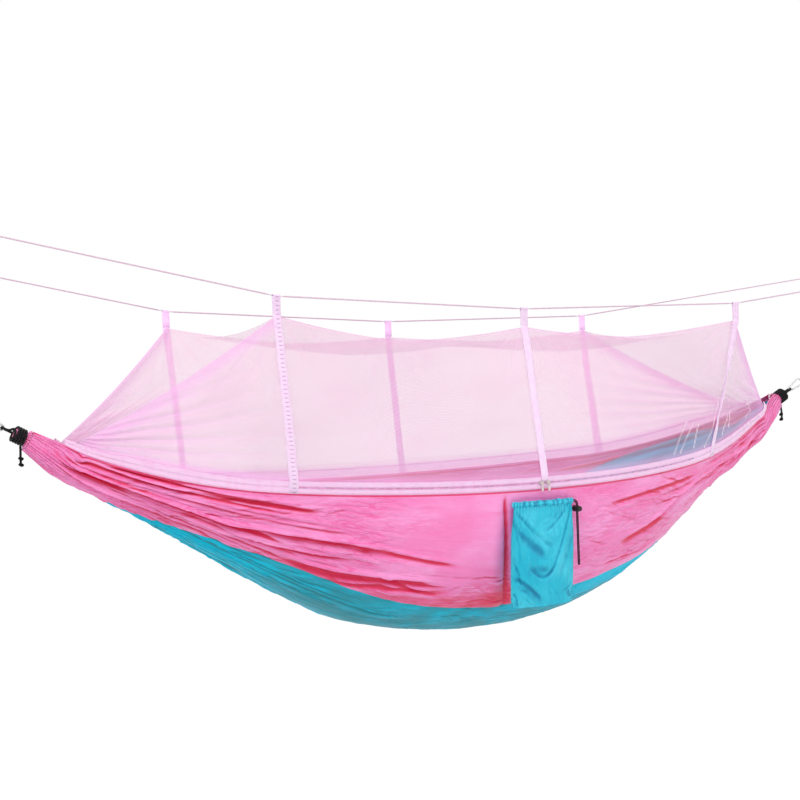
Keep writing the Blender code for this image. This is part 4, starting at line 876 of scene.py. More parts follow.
def bedRelief(station, share):
    # how far the cloth stands off its calm surface, its painted shade in folds and painted highlight on
    # crests, and how creased it is
    around = girth(station)
    across, reach = share * around, np.abs(station) / bed["halfSpan"]
    wander = 0.6 * latticeNoise(station * 5 + 20, share * 9, 3)
    pleat = np.sin(math.tau * foldLook["pleats"] * share + 2.5 * wander)
    pleat = pleat + 0.45 * np.sin(math.tau * foldLook["pleats"] * 1.73 * share + 4 * wander + 1.3)
    strength = smoothStep(reach, 0.45, 0.95) * blendTo(1.0, 0.45, smoothStep(reach, 0.9, 1.0))
    # the pleats' tone is painted shade in their hollows and painted highlight on their tops
    lift, tone = foldLook["pleatHeight"] * strength * pleat / 1.2, strength * pleat * 0.36
    addFolds(station, share, around, lift, tone)
    calmPatch = np.exp(-((station + 0.10) / 0.24) ** 4) * (1 - smoothStep(share, 0.13, 0.20))
    crumple = 1 - 0.85 * calmPatch
    crinkle = latticeNoise(station / 0.045 + 30, across / 0.017, 11)
    crinkle = crinkle + 0.5 * latticeNoise(station / 0.03, across / 0.04, 12)
    fine = latticeNoise(station / 0.017, across / 0.0075, 13)
    lift += crumple * (foldLook["crinkle"] * crinkle + foldLook["fine"] * fine)
    # the crinkles get painted shade and highlight too
    tone += crumple * (0.20 * crinkle + 0.10 * fine)
    nearSide = share < 0.3
    slack = np.interp(share, (0, 0.02, 0.14, 0.25, 0.28), (0, 0.7, 1, 0.9, 0)) * nearSide
    away = (station - np.interp(share, *fallLine)) / foldLook["fallWidth"]
    lift -= foldLook["fallDepth"] * slack * hump(away)
    lift += foldLook["fallSwell"] * slack * hump(away + 5.2, 3.6)
    # painted shade in the fall fold and a wide soft painted shadow beside it
    tone -= 1.5 * slack * hump(away, np.where(away < 0, 0.7, 1.0))
    tone -= 0.75 * slack * (share / 0.25) ** 2 * hump(away + 3.0, 10.0)
    # painted shade along the near panel's lower edge, above the seam
    foot = smoothStep(share, 0.185, 0.245) * nearSide
    tone -= 0.55 * foot * smoothStep(station, -0.80, -0.50) * (1 - smoothStep(station, -0.05, 0.10))
    # painted shade on the bottom panel's underside, around the keel
    tone -= 0.80 * (hump(share - 0.42, 0.17) * (1 - nearSide) * (1 - smoothStep(reach, 0.35, 0.85)))
    calm = smoothStep(np.minimum(share, 1 - share), 0.0, 0.03)
    return lift * calm, np.clip(tone, -1, 1) * blendTo(0.5, 1.0, calm), crumple


def bedSurface(station, share, offset=0.0):
    lift, tone, crumple = bedRelief(station, share)
    return calmBed(station, share) + bedNormal(station, share) * (lift + offset)[..., None], tone, crumple


# where the near and the far seam run, as shares of the girth from their own rims
seams = {
    -1: ((-1.15, -1.05, -0.97, -0.939, -0.884, -0.794, -0.719, -0.664, -0.55, -0.465, -0.34, -0.245,
          0.0, 0.2, 0.33, 0.505, 0.56, 0.60, 0.66, 0.74, 0.83, 0.95, 1.15),
         (0.57, 0.58, 0.56, 0.50, 0.383, 0.303, 0.277, 0.26, 0.24, 0.25, 0.25, 0.266,
          0.262, 0.230, 0.227, 0.250, 0.268, 0.29, 0.35, 0.405, 0.44, 0.46, 0.46)),
    1: ((-1.15, -0.6, 0.0, 0.4, 0.62, 0.8, 1.0, 1.04, 1.08, 1.15),
        (0.30, 0.26, 0.258, 0.15, 0.066, 0.026, 0.03, 0.10, 0.17, 0.22)),
}


def seamShare(station, side):
    fine = np.linspace(-bed["halfSpan"], bed["halfSpan"], 93)
    line = np.pad(np.interp(fine, *seams[side]), 3, mode="edge")
    return np.interp(station, fine, np.convolve(line, np.ones(7) / 7, mode="valid"))


# the side panels lap over the bottom one, which lies sunk below them, and have a welt at the seam
panelLook = {
    "sideSteps": (460, 100), "bottomSteps": (420, 108), "thickness": 0.001, "lap": 0.009, "sunk": 0.0007,
    "lapLift": 0.0008, "welt": 0.0003,
}


def makePanel(name, node, side, material, flat):
    def place(longShare, crossShare):
        spread = 2 * longShare - 1
        station = bed["halfSpan"] * (spread * 1.2 - spread ** 3 * 0.2)  # closer steps at the gathers
        around = girth(station)
        if side == 0:
            low, high = seamShare(station, -1), 1 - seamShare(station, 1)
            share = blendTo(low, high, crossShare)
            edge = rimAway = np.full_like(share, 1.0)
            offset = np.full_like(station, -panelLook["sunk"])
        else:
            width = seamShare(station, side) + np.minimum(panelLook["lap"] / around, 0.012)
            share = width * crossShare
            edge = (width - share) * around
            welt = panelLook["welt"] * hump(edge - 0.0045, 0.002)
            offset = panelLook["lapLift"] * smoothStep(-edge, -0.02, -0.006) + welt
            rimAway = share * around
            share = share if side < 0 else 1 - share
        points, tone, crumple = bedSurface(station, share, offset)
        return points, {"relief": tone, "edge": edge, "crumple": crumple, "rimAway": rimAway}

    steps = panelLook["bottomSteps"] if side == 0 else panelLook["sideSteps"]
    piece = clothSheet(name, *steps, place, flat[::-1], panelLook["thickness"], material)
    dress(piece, node)


makePanel("nearSidePanel", "side_panel_near", -1, "pinkNylon", (0.38, 2.56))
makePanel("farSidePanel", "side_panel_far", 1, "pinkNylon", (0.30, 2.56))
makePanel("bottomPanel", "bottom_panel", 0, "turquoiseNylon", (0.72, 2.66))
print("bed panels made")


# rims: side is -1 for the near one and 1 for the far one
def rimPoint(station, side):
    return calmBed(station, 0.0 if side < 0 else 1.0)


def leavingArc(station):
    return smoothStep(np.abs(station), bed["arcHalf"], 0.8 * bed["halfSpan"])[..., None]


def rimUp(station, side):
    inner = rimPoint(station, side) - calmBed(station, 0.01 if side < 0 else 0.99)
    planeUp = np.array([0, side * math.sin(bed["tilt"]), math.cos(bed["tilt"])])
    return unit(blendTo(planeUp, unit(inner), leavingArc(station)))


def rimOut(station, side):
    turn = np.sign(station) * np.arcsin(np.minimum(np.abs(station), bed["arcHalf"]) / arcRadius)
    tilt = bed["tilt"]
    outward = (np.sin(turn), side * np.cos(turn) * math.cos(tilt), -np.cos(turn) * math.sin(tilt))
    normal = bedNormal(station, 0.0 if side < 0 else 1.0)
    return unit(blendTo(np.stack(outward, axis=-1), normal, leavingArc(station)))


def bandPoint(station, side, height, offset):
    # a place on the rim's band, a height above the panel's edge and an offset off its face
    station = np.asarray(station, float)
    reach, edge = np.abs(station), bed["halfSpan"]
    taper = blendTo(1.0, 0.6, smoothStep(reach, 0.78 * edge, edge - rim["taperInset"]))
    offset = np.asarray(offset, float)
    off = offset + rim["standOff"] * leavingArc(station)[..., 0] * (offset > 0)
    up = rimUp(station, side) * (np.asarray(height, float) * taper)[..., None]
    return rimPoint(station, side) + up + rimOut(station, side) * off[..., None]


bandTop = rim["zipRise"] + rim["rowGap"] / 2 + rim["upper"]
bandFoot = rim["zipRise"] - rim["rowGap"] / 2 - rim["lower"]
bandReach = bed["halfSpan"] - rim["endInset"]


def tapeGap(station):
    # half the gap between the two bands, which closes beyond the zip
    return blendTo(rim["rowGap"] / 2, rim["closedGap"], smoothStep(np.abs(station), *rim["closing"]))


def zipEdge(way):
    return lambda station: rim["zipRise"] + way * tapeGap(station)


def levelEdge(height):
    return lambda station: height + 0 * station


def makeBand(name, node, side, lowEdge, highEdge):
    def place(longShare, crossShare):
        station = bandReach * (2 * longShare - 1)
        height = blendTo(lowEdge(station), highEdge(station), crossShare)
        # the near bands lie flat where the sliders run
        loose = smoothStep(np.abs(station), *rim["flatTo"]) if side < 0 else 1.0
        ripple = latticeNoise(station / 0.05, crossShare * 2, 21)
        rolled = rim["roll"] * np.sin(math.pi * crossShare) + rim["ripple"] * ripple
        return bandPoint(station, side, height, rim["seat"] + rolled * loose), {"run": station}

    wide = float(highEdge(np.zeros(1))[0] - lowEdge(np.zeros(1))[0])
    piece = clothSheet(name, 420, 8, place, (rim["length"], wide), rim["thickness"], "rimWebbing")
    dress(piece, node)


bands = (
    ("nearBandUpper", "rim_band_upper_near", -1, zipEdge(1), levelEdge(bandTop)),
    ("nearBandLower", "rim_band_lower_near", -1, levelEdge(bandFoot), zipEdge(-1)),
    ("farBand", "rim_band_far", 1, levelEdge(bandFoot), levelEdge(bandTop)),
)
for name, node, side, lowEdge, highEdge in bands:
    makeBand(name, node, side, lowEdge, highEdge)


# the zip's coils
coilLook = {
    "pitch": 0.0016, "deep": 0.0007, "tall": 0.00095, "wire": 0.00056, "perTurn": 8, "middle": 0.00175,
}


def makeCoil(name, node, direction):
    turns = round(2 * rim["zipHalf"] / coilLook["pitch"])
    share = np.linspace(0, 1, turns * coilLook["perTurn"] + 1)
    reach = math.asin(rim["zipHalf"] / arcRadius)
    station = arcRadius * np.sin(reach * (2 * share - 1))
    turn = math.tau * turns * share
    height = rim["zipRise"] + direction * (coilLook["middle"] + coilLook["tall"] * np.cos(turn))
    points = bandPoint(station, -1, height, rim["seat"] + coilLook["deep"] * np.sin(turn))
    dress(tubeMesh(name, toWorld(points), coilLook["wire"], "zipTeeth", 4), node)


makeCoil("zipCoilUpper", "zip_row_upper", 1)
makeCoil("zipCoilLower", "zip_row_lower", -1)
print("rims made")


# the insect net
apexStation = bed["halfSpan"] - net["apexInset"]
footHeight = bandTop - rim["lap"]
leavingHeight = bandTop + 2 * seatGap
halfPly, besideNet = 0.0009, 0.00185  # from a strap's middle to its loop's plies, and to the net
wallReach = net["ridgeSpacing"] / 2 + halfPly - besideNet
netFolds = {
    "hem": 0.0075, "cornerHem": 0.030, "foot": 0.012, "footFolds": 9, "cornerFolds": 6, "fold": 0.0045,
    "veil": 0.14, "lapShare": 0.94, "inset": 0.0013, "slopeSag": 0.0544, "waves": 7, "wave": 0.005,
    "fullHeight": 0.485, "wrinkle": 0.004, "fan": 0.006,
}
# lines where the net shines, in stations and shares of the height below its top
glintLines = (
    ((0.500, 0.535, 0.570), (0.98, 0.85, 0.72)), ((0.530, 0.600), (0.98, 0.75)),
    ((0.600, 0.620), (0.97, 0.78)), ((0.660, 0.690, 0.700), (0.985, 0.88, 0.60)),
    ((0.760, 0.780), (0.95, 0.75)), ((0.800, 0.790), (0.90, 0.70)),
    ((0.900, 0.915, 0.945), (0.55, 0.90, 0.70)),
)


def spanShare(station):
    first = station < middleStrap
    left, right = np.where(first, leftStrap, middleStrap), np.where(first, middleStrap, rightStrap)
    return first, (station - left) / (right - left)


def wallTop(station, side):
    station = np.asarray(station, float)
    sags = net["nearSag"] if side < 0 else net["farSag"]
    inside = np.clip(station, leftStrap, rightStrap)
    first, share = spanShare(inside)
    slack = 4 * share * (1 - share)
    sag = np.where(first, *sags) * blendTo(slack, 1 - np.abs(2 * share - 1) ** 1.25, 0.6)
    height = lineHeight(inside) - net["loopDrop"]
    span = np.stack((inside, side * (wallReach - net["pull"] * slack), height - sag), axis=-1)
    direction = np.where(station < 0, -1.0, 1.0)
    apex = bandPoint(direction * apexStation, side, footHeight, 0.0) + np.array([0, 0, net["apexRise"]])
    corner = np.where(station < 0, leftStrap, rightStrap)
    top = np.stack((corner, side * wallReach + 0 * corner, lineHeight(corner) - net["loopDrop"]), axis=-1)
    share = np.clip((station - corner) / (direction * apexStation - corner), 0, 1)
    slope = blendTo(top, apex, share[..., None])
    slope[..., 2] -= netFolds["slopeSag"] * share * (1 - share)
    return np.where(((station < leftStrap) | (station > rightStrap))[..., None], slope, span)


def wallSlack(station):
    share = spanShare(station)[1]
    corner = np.where(station < 0, leftStrap, rightStrap)
    beyond = np.clip((np.abs(station) - np.abs(corner)) / (apexStation - np.abs(corner)), 0, 1)
    inside = (station >= leftStrap) & (station <= rightStrap)
    return np.where(inside, 4 * share * (1 - share), 2.2 * beyond * (1 - beyond))


def radiating(station, drop, height):
    # folds that run from the middle of the wall down to both of its feet
    apart, below = apexStation + 0.05 - np.abs(station), (1 - drop) * height
    angle = np.arctan2(below, np.maximum(apart, 1e-3))
    wander = 0.25 * latticeNoise(apart / 0.12 + 4, angle * 3, 33)
    start = np.where(station < 0, 0.4, 1.7)
    fold = np.sin(math.tau * netFolds["footFolds"] * (angle + 0.05 * wander) + start)
    reach = smoothStep(np.hypot(apart, below), 0.62, 0.16)
    return fold, reach * smoothStep(drop, 0.0, 0.12)


def drawnFrom(station, drop, height):
    # folds that fan down from the corners where the straps hold the net
    lift, total = np.zeros_like(station), np.zeros_like(station)
    for place in net["straps"]:
        apart, below = station - place, drop * height + 0.015
        angle = np.arctan2(apart, below)
        reach = smoothStep(np.hypot(apart, below), 0.30, 0.05) * smoothStep(drop, 0.0, 0.05)
        lift += reach * np.sin(math.tau * netFolds["cornerFolds"] * angle / 3 + 11 * place)
        total += reach
    return lift, np.clip(total, 0, 1)


def glintMark(station, drop):
    mark = np.zeros_like(station)
    for stations, drops in glintLines:
        order = np.argsort(drops)
        middle = np.interp(drop, np.array(drops)[order], np.array(stations)[order])
        inside = (drop > min(drops)) & (drop < max(drops))
        mark = np.maximum(mark, hump(station - middle, 0.0022) * inside)
    return mark


def makeNetWall(name, node, side):
    def place(longShare, crossShare):
        station = apexStation * (2 * longShare - 1)
        drop = np.minimum(crossShare / netFolds["lapShare"], 1.0)
        top, foot = wallTop(station, side), bandPoint(station, side, leavingHeight, 0.0)
        height = np.linalg.norm(top - foot, axis=-1)
        belly = np.sin(math.pi * drop) * wallSlack(station)
        wave = np.sin(math.tau * netFolds["waves"] * station / (2 * bed["halfSpan"]) + 2 * drop)
        fold, folded = radiating(station, drop, height)
        drawn, held = drawnFrom(station, drop, height)
        points = blendTo(top, foot, drop[..., None])
        inward = belly * height / netFolds["fullHeight"] * (net["hollow"] + netFolds["wave"] * wave)
        inward += netFolds["fold"] * (fold * folded + 0.6 * drawn * held) * np.sin(math.pi * drop)
        points[..., 1] -= side * inward
        lap = np.clip((crossShare - netFolds["lapShare"]) / (1 - netFolds["lapShare"]), 0, 1)
        points = blendTo(points, bandPoint(station, side, footHeight, 0.0), lap[..., None])
        outside = (station < leftStrap) | (station > rightStrap)
        hem = hump(drop * height, np.where(outside, netFolds["cornerHem"], netFolds["hem"]))
        tone = hem * np.where(outside, 0.85, 0.30)
        tone += 0.45 * hump((1 - drop) * height, netFolds["foot"])
        dense = np.where(station < 0, 0.34, 0.36)
        tone += folded * (0.30 * np.maximum(fold, 0) ** 3 + dense) + 0.16 * held * np.maximum(drawn, 0) ** 2
        tone += netFolds["veil"] * smoothStep(latticeNoise(station / 0.13 + 9, drop * 2.2, 31), 0.0, 0.9)
        thread = latticeNoise(station / 0.30 + 4, drop * 3 + station * 4, 32)
        tone += 0.22 * hump(thread, 0.035) * folded
        glint = glintMark(station, drop) if side < 0 else 0 * station
        return points, {"relief": np.clip(tone, 0, 1), "glint": glint}

    piece = clothSheet(name, 460, 80, place, (2.04, 0.47), 0, "insectNet")
    dress(piece, node)


def topSheet(station, crossShare):
    near, far = wallTop(station, -1), wallTop(station, 1)
    near[..., 1] += netFolds["inset"]
    far[..., 1] -= netFolds["inset"]
    points = blendTo(near, far, crossShare[..., None])
    span = (far - near)[..., 1] / net["ridgeSpacing"]
    points[..., 2] -= net["roofSag"] * span * (1 - (2 * crossShare - 1) ** 2)
    return points


def makeTopSheet(name, node, reach, flat, area, steps):
    sloping = abs(reach[0] + reach[1]) > 0.4

    def place(longShare, crossShare):
        station = longShare * (reach[1] - reach[0]) + reach[0]
        points = topSheet(station, crossShare)
        edge = np.minimum(crossShare, 1 - crossShare) * 0.7
        middle = np.sin(math.pi * crossShare)
        wrinkle = latticeNoise(station / 0.16 + 5, crossShare * 5, 41) * middle
        points[..., 2] += netFolds["wrinkle"] * wrinkle
        tone = 0.85 * hump(edge, 0.022) if sloping else 0.30 * hump(edge, 0.006)
        if sloping:
            away = np.abs(station - (leftStrap if reach[0] < 0 else rightStrap))
            share = away / abs(reach[1] - reach[0])
            wander = 0.25 * latticeNoise(share * 4, crossShare * 6, 42)
            fan = np.sin(math.tau * (5 * crossShare + wander) + 2) * smoothStep(away, 0.02, 0.3)
            points[..., 2] += netFolds["fan"] * fan * middle
            tone = tone + 0.30 * np.maximum(fan, 0) ** 3 + 0.22 * share ** 2
        tone = tone + 0.10 * smoothStep(wrinkle, 0.1, 0.8)
        return points, {"relief": np.clip(tone, 0, 1), "glint": 0.0}

    piece = clothSheet(name, *steps, place, flat[::-1], 0, "insectNet")
    dress(piece, node)


makeNetWall("nearNetWall", "net_wall_near", -1)
makeNetWall("farNetWall", "net_wall_far", 1)
# the roof and both ends: reach along the bed, flat size and area, steps along and across
topSheets = (
    ("netRoof", "net_roof", (leftStrap + sewnGap, rightStrap - sewnGap), (0.73, 1.38), 0.97, (220, 80)),
    ("leftNetEnd", "net_end_left", (-apexStation, leftStrap - sewnGap), (0.73, 0.54), 0.22, (130, 90)),
    ("rightNetEnd", "net_end_right", (rightStrap + sewnGap, apexStation), (0.73, 0.50), 0.20, (130, 90)),
)
for sheet in topSheets:
    makeTopSheet(*sheet)
print("net made")


# webbing straps, each a run of cross lines from the loop over the ridge line down to the rim
strapLook = {
    "width": 0.020, "thickness": 0.0013, "half": 0.0007, "freePly": 0.010, "lineRadius": 0.0018, "across": 8,
    "wave": 0.0012,
    "footShift": {("near", "left"): 0.058, ("far", "middle"): 0.064, ("far", "right"): -0.030},
    "twist": {("near", "right"): 0.55},
}


def strapColumn(station, column, side, foot, shift):
    loop = strapLook["lineRadius"] + 2 * seatGap + strapLook["half"]
    reach = net["ridgeSpacing"] / 2
    line, corner = float(lineHeight(column)), float(lineHeight(station)) - net["loopDrop"]
    neck = line - loop - strapLook["freePly"]
    points = [(column, side * (reach - halfPly), corner + 0.002), (column, side * (reach - halfPly), neck)]
    for angle in range(-45, 226, 18):
        turn = math.radians(angle)
        points.append((column, side * (reach - loop * math.cos(turn)), line + loop * math.sin(turn)))
    points.append((column, side * (reach + halfPly), neck))
    face = rim["seat"] + sewnGap + seatGap + strapLook["half"]
    top, place = np.array([column, side * wallReach, corner]), np.array(column)
    lower = place + shift
    base, out = bandPoint(lower, side, leavingHeight, 0.0), rimOut(lower, side)
    for share in np.linspace(0, 0.94, 14):
        nearFoot = float(smoothStep(share, 0.75, 1.0))
        beside = np.array([0, side * besideNet, 0]) * (1 - nearFoot)
        wave = side * strapLook["wave"] * math.sin(math.pi * share)
        beside[1] += wave * (1 + math.sin(9 * share + 7 * station))
        points.append(tuple(blendTo(top, base, share) + beside + out * (face * nearFoot)))
    points.append(tuple(bandPoint(lower, side, bandTop, face)))
    points.append(tuple(bandPoint(lower, side, foot, face)))
    return np.array(smoothPath(points, 2))


def makeStrap(word, which, station, side, foot):
    spread = np.linspace(-0.5, 0.5, strapLook["across"] + 1) * strapLook["width"]
    shift = strapLook["footShift"].get((word, which), 0.0)
    columns = np.array([strapColumn(station, station + part, side, foot, shift) for part in spread])
    last, middle = columns.shape[1] - 1, strapLook["across"] // 2
    runs = np.array([pathLength(columns[middle][:row + 1]) for row in range(last + 1)])
    ticked = float((word, which) == ("near", "left"))
    turned = strapLook["twist"].get((word, which), 0.0)

    def place(longShare, crossShare):
        row = np.rint(longShare * last).astype(int)
        column = np.rint(crossShare * strapLook["across"]).astype(int)
        points = columns[column, row]
        # a strap that turns on its way down shows its edge there
        level = row / last
        turn = turned * math.pi * hump(level - 0.80, 0.11)
        fromMiddle = points[:, 0] - columns[middle, row][:, 0]
        points[:, 0] -= fromMiddle * (1 - np.cos(turn))
        points[:, 1] += side * np.abs(fromMiddle) * np.sin(turn) * 0.5
        return points, {"run": runs[row], "ticked": ticked}

    size = (runs[-1], strapLook["width"])
    piece = clothSheet(f"{word}{which.title()}Strap", last, strapLook["across"], place, size,
                       strapLook["thickness"], "strapWebbing" if side < 0 else "farGlowWebbing")
    dress(piece, f"strap_{word}_{which}")


clearOfZip = rim["zipRise"] + rim["sliderHalf"] + 2 * seatGap  # the near middle strap ends above it
for word, side in (("near", -1), ("far", 1)):
    for which, station in zip(("left", "middle", "right"), net["straps"]):
        foot = clearOfZip if (word, which) == ("near", "middle") else bandFoot
        makeStrap(word, which, station, side, foot)
print("straps made")


# gathered ends: pleated channel and rope lashing, in frames whose X axis runs out along the pull
endLook = {
    "channelRadius": 0.0135, "channelLength": 0.036, "pleats": 19, "pleatDepth": 0.0009,
    "mouthPleats": 0.0026, "ropeRadius": 0.003, "turns": 4.2, "turnRadius": 0.0181, "pitch": 0.0066,
    "begin": 0.010, "hookStart": 0.064, "tailDrop": 0.048, "eyeRadius": 0.0058, "knotRadius": 0.0024,
    "knotSize": 0.0016, "flare": 0.0085, "flareLength": 0.0032, "finePleats": 31,
}


def endPlaces(direction, points):
    points = np.asarray(points, float)
    hang = bed["hang"]
    ahead = np.array([direction * math.cos(hang), 0, math.sin(hang)])
    above = np.array([-direction * math.sin(hang), 0, math.cos(hang)])
    beside = np.cross(above, ahead)
    origin = np.array([direction * bed["halfSpan"], 0, 0])
    return origin + points[..., :1] * ahead + points[..., 1:2] * beside + points[..., 2:3] * above


def gatheredEnd(name, node, direction):
    def place(longShare, roundShare):
        along, turn = endLook["channelLength"] * longShare, math.tau * roundShare
        radius = endLook["channelRadius"] + endLook["flare"] * hump(along, endLook["flareLength"])
        radius = radius * np.interp(longShare, (0, 0.86, 0.95, 1.0), (1, 1, 0.93, 0.55))
        wander = 0.9 * latticeNoise(roundShare * 12, along / 0.012 + 3, 51)
        pleat = np.sin(endLook["pleats"] * turn + wander)
        pleat = pleat + 0.4 * np.sin(endLook["finePleats"] * turn + 2 * wander)
        depth = endLook["pleatDepth"] + endLook["mouthPleats"] * hump(along, 0.004)
        radius = radius + depth * pleat / 1.4
        places = np.stack((2 * seatGap + along, radius * np.cos(turn), radius * np.sin(turn)), axis=-1)
        # relief paints shade in the pleats and a highlight on their crests
        marks = {"relief": np.clip(pleat * 0.9, -1, 1), "crumple": 0.5, "edge": 1.0}
        return endPlaces(direction, places), marks

    piece = clothGrid(name, 44, 190, place, (0.04, 0.11))
    tidyMesh(piece, 2e-6, lambda edge: True)
    dress(finishPiece(piece, "pinkNylon", 60), node)


def ropeRoute():
    radius, around, start = endLook["ropeRadius"], endLook["turnRadius"], endLook["hookStart"]
    wide, helix = 2 * radius, []
    for step in range(round(turnSteps * endLook["turns"]) + 1):
        turn = math.tau * step / turnSteps - math.pi / 2
        along = endLook["begin"] + endLook["pitch"] * step / turnSteps
        helix.append(np.array([along, around * math.cos(turn), around * math.sin(turn)]))
    eye, after, throat = endLook["eyeRadius"], helix[-1][0], start - 2.2 * wide
    legOut = [
        (after + 0.55 * wide, 0.93 * around, 0.38 * around),
        (after + 1.3 * wide, 0.68 * around, 0.42 * around),
        (throat, eye, 0.12 * around), (start - 1.1 * wide, eye, 0),
    ]
    bow = [
        np.array([start + eye * math.sin(turn), eye * math.cos(turn), 0])
        for turn in np.linspace(0, math.pi, 17)
    ]
    legBack = [(start - 1.1 * wide, -eye, 0), (throat, -eye, 0), (0.0384, -0.00405, 0)]
    down = np.array([-math.sin(bed["hang"]), 0, -math.cos(bed["hang"])])
    tailStart = helix[0] + np.array([-0.35, -1.3, -0.25]) * wide
    drop, aside = endLook["tailDrop"], np.array([0, -wide, 0])
    falls = ((1, 0.2), (0.6, 0.4), (0.22, 0))
    tail = [tailStart + down * share * drop + aside * part for share, part in falls] + [tailStart]
    path = smoothPath(tail, 8)[:-1] + smoothPath([tail[-1], helix[0]], 3)[:-1] + helix
    path += smoothPath([helix[-1]] + legOut, 7)[1:-1] + [np.array(legOut[-1])] + bow + smoothPath(legBack, 6)
    return path, [tailStart + down * share * drop for share in (0.62, 0.93)]


def makeRope(name, node, direction):
    path, knots = ropeRoute()
    route = toWorld(endPlaces(direction, path))
    dress(tubeMesh(name, route, endLook["ropeRadius"], "blackRope", 16), node)
    for number, centre in enumerate(knots):
        turns = []
        for turn in np.linspace(0, math.tau, 48, endpoint=False):
            side, up = math.sin(turn) + 2 * math.sin(2 * turn), math.cos(turn) - 2 * math.cos(2 * turn)
            turns.append(centre + endLook["knotSize"] * np.array([side, up, -1.3 * math.sin(3 * turn)]))
        knot = toWorld(endPlaces(direction, turns))
        piece = tubeMesh(f"{name}Knot{number}", knot, endLook["knotRadius"], "blackRope", 10, True)
        dress(piece)


for word, direction in (("left", -1), ("right", 1)):
    gatheredEnd(f"{word}GatheredEnd", f"end_channel_{word}", direction)
    makeRope(f"{word}EndRope", f"end_rope_{word}", direction)
print("ends made")


# stuff pouch; a fold on its front has shares across (-1 to 1) and down, depth, half width in metres
pouchFolds = (
    ((-0.95, -0.62, -0.31, 0.0, 0.26), (0.02, 0.16, 0.28, 0.37, 0.43), 0.0046, 0.0062),
    ((0.90, 0.85, 0.62, 0.36, 0.20, -0.05, -0.31, -0.49), (0.02, 0.10, 0.33, 0.57, 0.68, 0.72, 0.68, 0.59),
     0.0040, 0.0060),
    ((-0.35, -0.10, 0.10), (0.23, 0.31, 0.36), 0.0022, 0.0045),
    ((0.70, 0.45, 0.10, -0.05), (0.06, 0.16, 0.25, 0.27), 0.0022, 0.0050),
    ((-0.87, -0.46, -0.05), (0.70, 0.80, 0.93), 0.0034, 0.0055),
    ((-0.88, -0.80, -0.76), (0.26, 0.44, 0.60), 0.0018, 0.0045),
    ((-0.95, -0.80, -0.70), (0.55, 0.66, 0.80), 0.0016, 0.0035),
    ((-0.95, -0.85, -0.78), (0.86, 0.90, 0.99), 0.0018, 0.0030),
    ((0.95, 0.78, 0.62), (0.78, 0.86, 0.88), 0.0016, 0.0030),
    ((-0.62, -0.45, -0.30), (0.90, 0.96, 0.99), 0.0016, 0.0030),
    ((0.30, 0.45, 0.55), (0.84, 0.92, 0.99), 0.0014, 0.0035),
)
# hollows that lie in shade: place across and down, half length and half width in metres, turn, depth
pouchHollows = (
    (-0.36, 0.40, 0.046, 0.013, 0.68, 1.0), (-0.16, 0.640, 0.036, 0.013, 0.05, 1.0),
    (-0.46, 0.845, 0.052, 0.012, 0.63, 1.0), (-0.82, 0.95, 0.020, 0.012, 0.0, 0.6),
    (0.74, 0.50, 0.070, 0.010, 1.95, 0.55), (-0.86, 0.22, 0.034, 0.009, 1.0, 0.7),
    (0.34, 0.13, 0.044, 0.011, 2.6, 0.5), (-0.88, 0.60, 0.040, 0.008, 1.4, 0.5),
    (0.84, 0.90, 0.020, 0.012, 0.4, 0.5),
)


def pouchSection(drop):
    belly = np.sin(math.pi * np.minimum(1.0, drop * 0.62 + 0.12))
    wide = pouch["half"] * blendTo(pouch["mouthShare"], 1.0, smoothStep(drop, 0, 0.35))
    plain = blendTo(pouch["mouthHalf"], pouch["footHalf"], drop)
    deep = plain + (pouch["depth"] / 2 - plain) * belly * smoothStep(drop, 0, 0.3) * (1 - drop ** 3)
    return wide, deep, pouch["lean"] * drop


def lineDistance(x, y, knots):
    # signed distance to a bent line, and how far along it the nearest place is
    best, sign, along = np.full(x.shape, 9.0), np.ones(x.shape), np.zeros(x.shape)
    for index, (start, end) in enumerate(zip(knots, knots[1:])):
        step = end - start
        share = np.clip(((x - start[0]) * step[0] + (y - start[1]) * step[1]) / (step @ step), 0, 1)
        dx, dy = x - start[0] - share * step[0], y - start[1] - share * step[1]
        distance = np.hypot(dx, dy)
        nearer = distance < best
        best = np.where(nearer, distance, best)
        sign = np.where(nearer, np.sign(step[0] * dy - step[1] * dx), sign)
        along = np.where(nearer, (index + share) / (len(knots) - 1), along)
    return best * sign, along


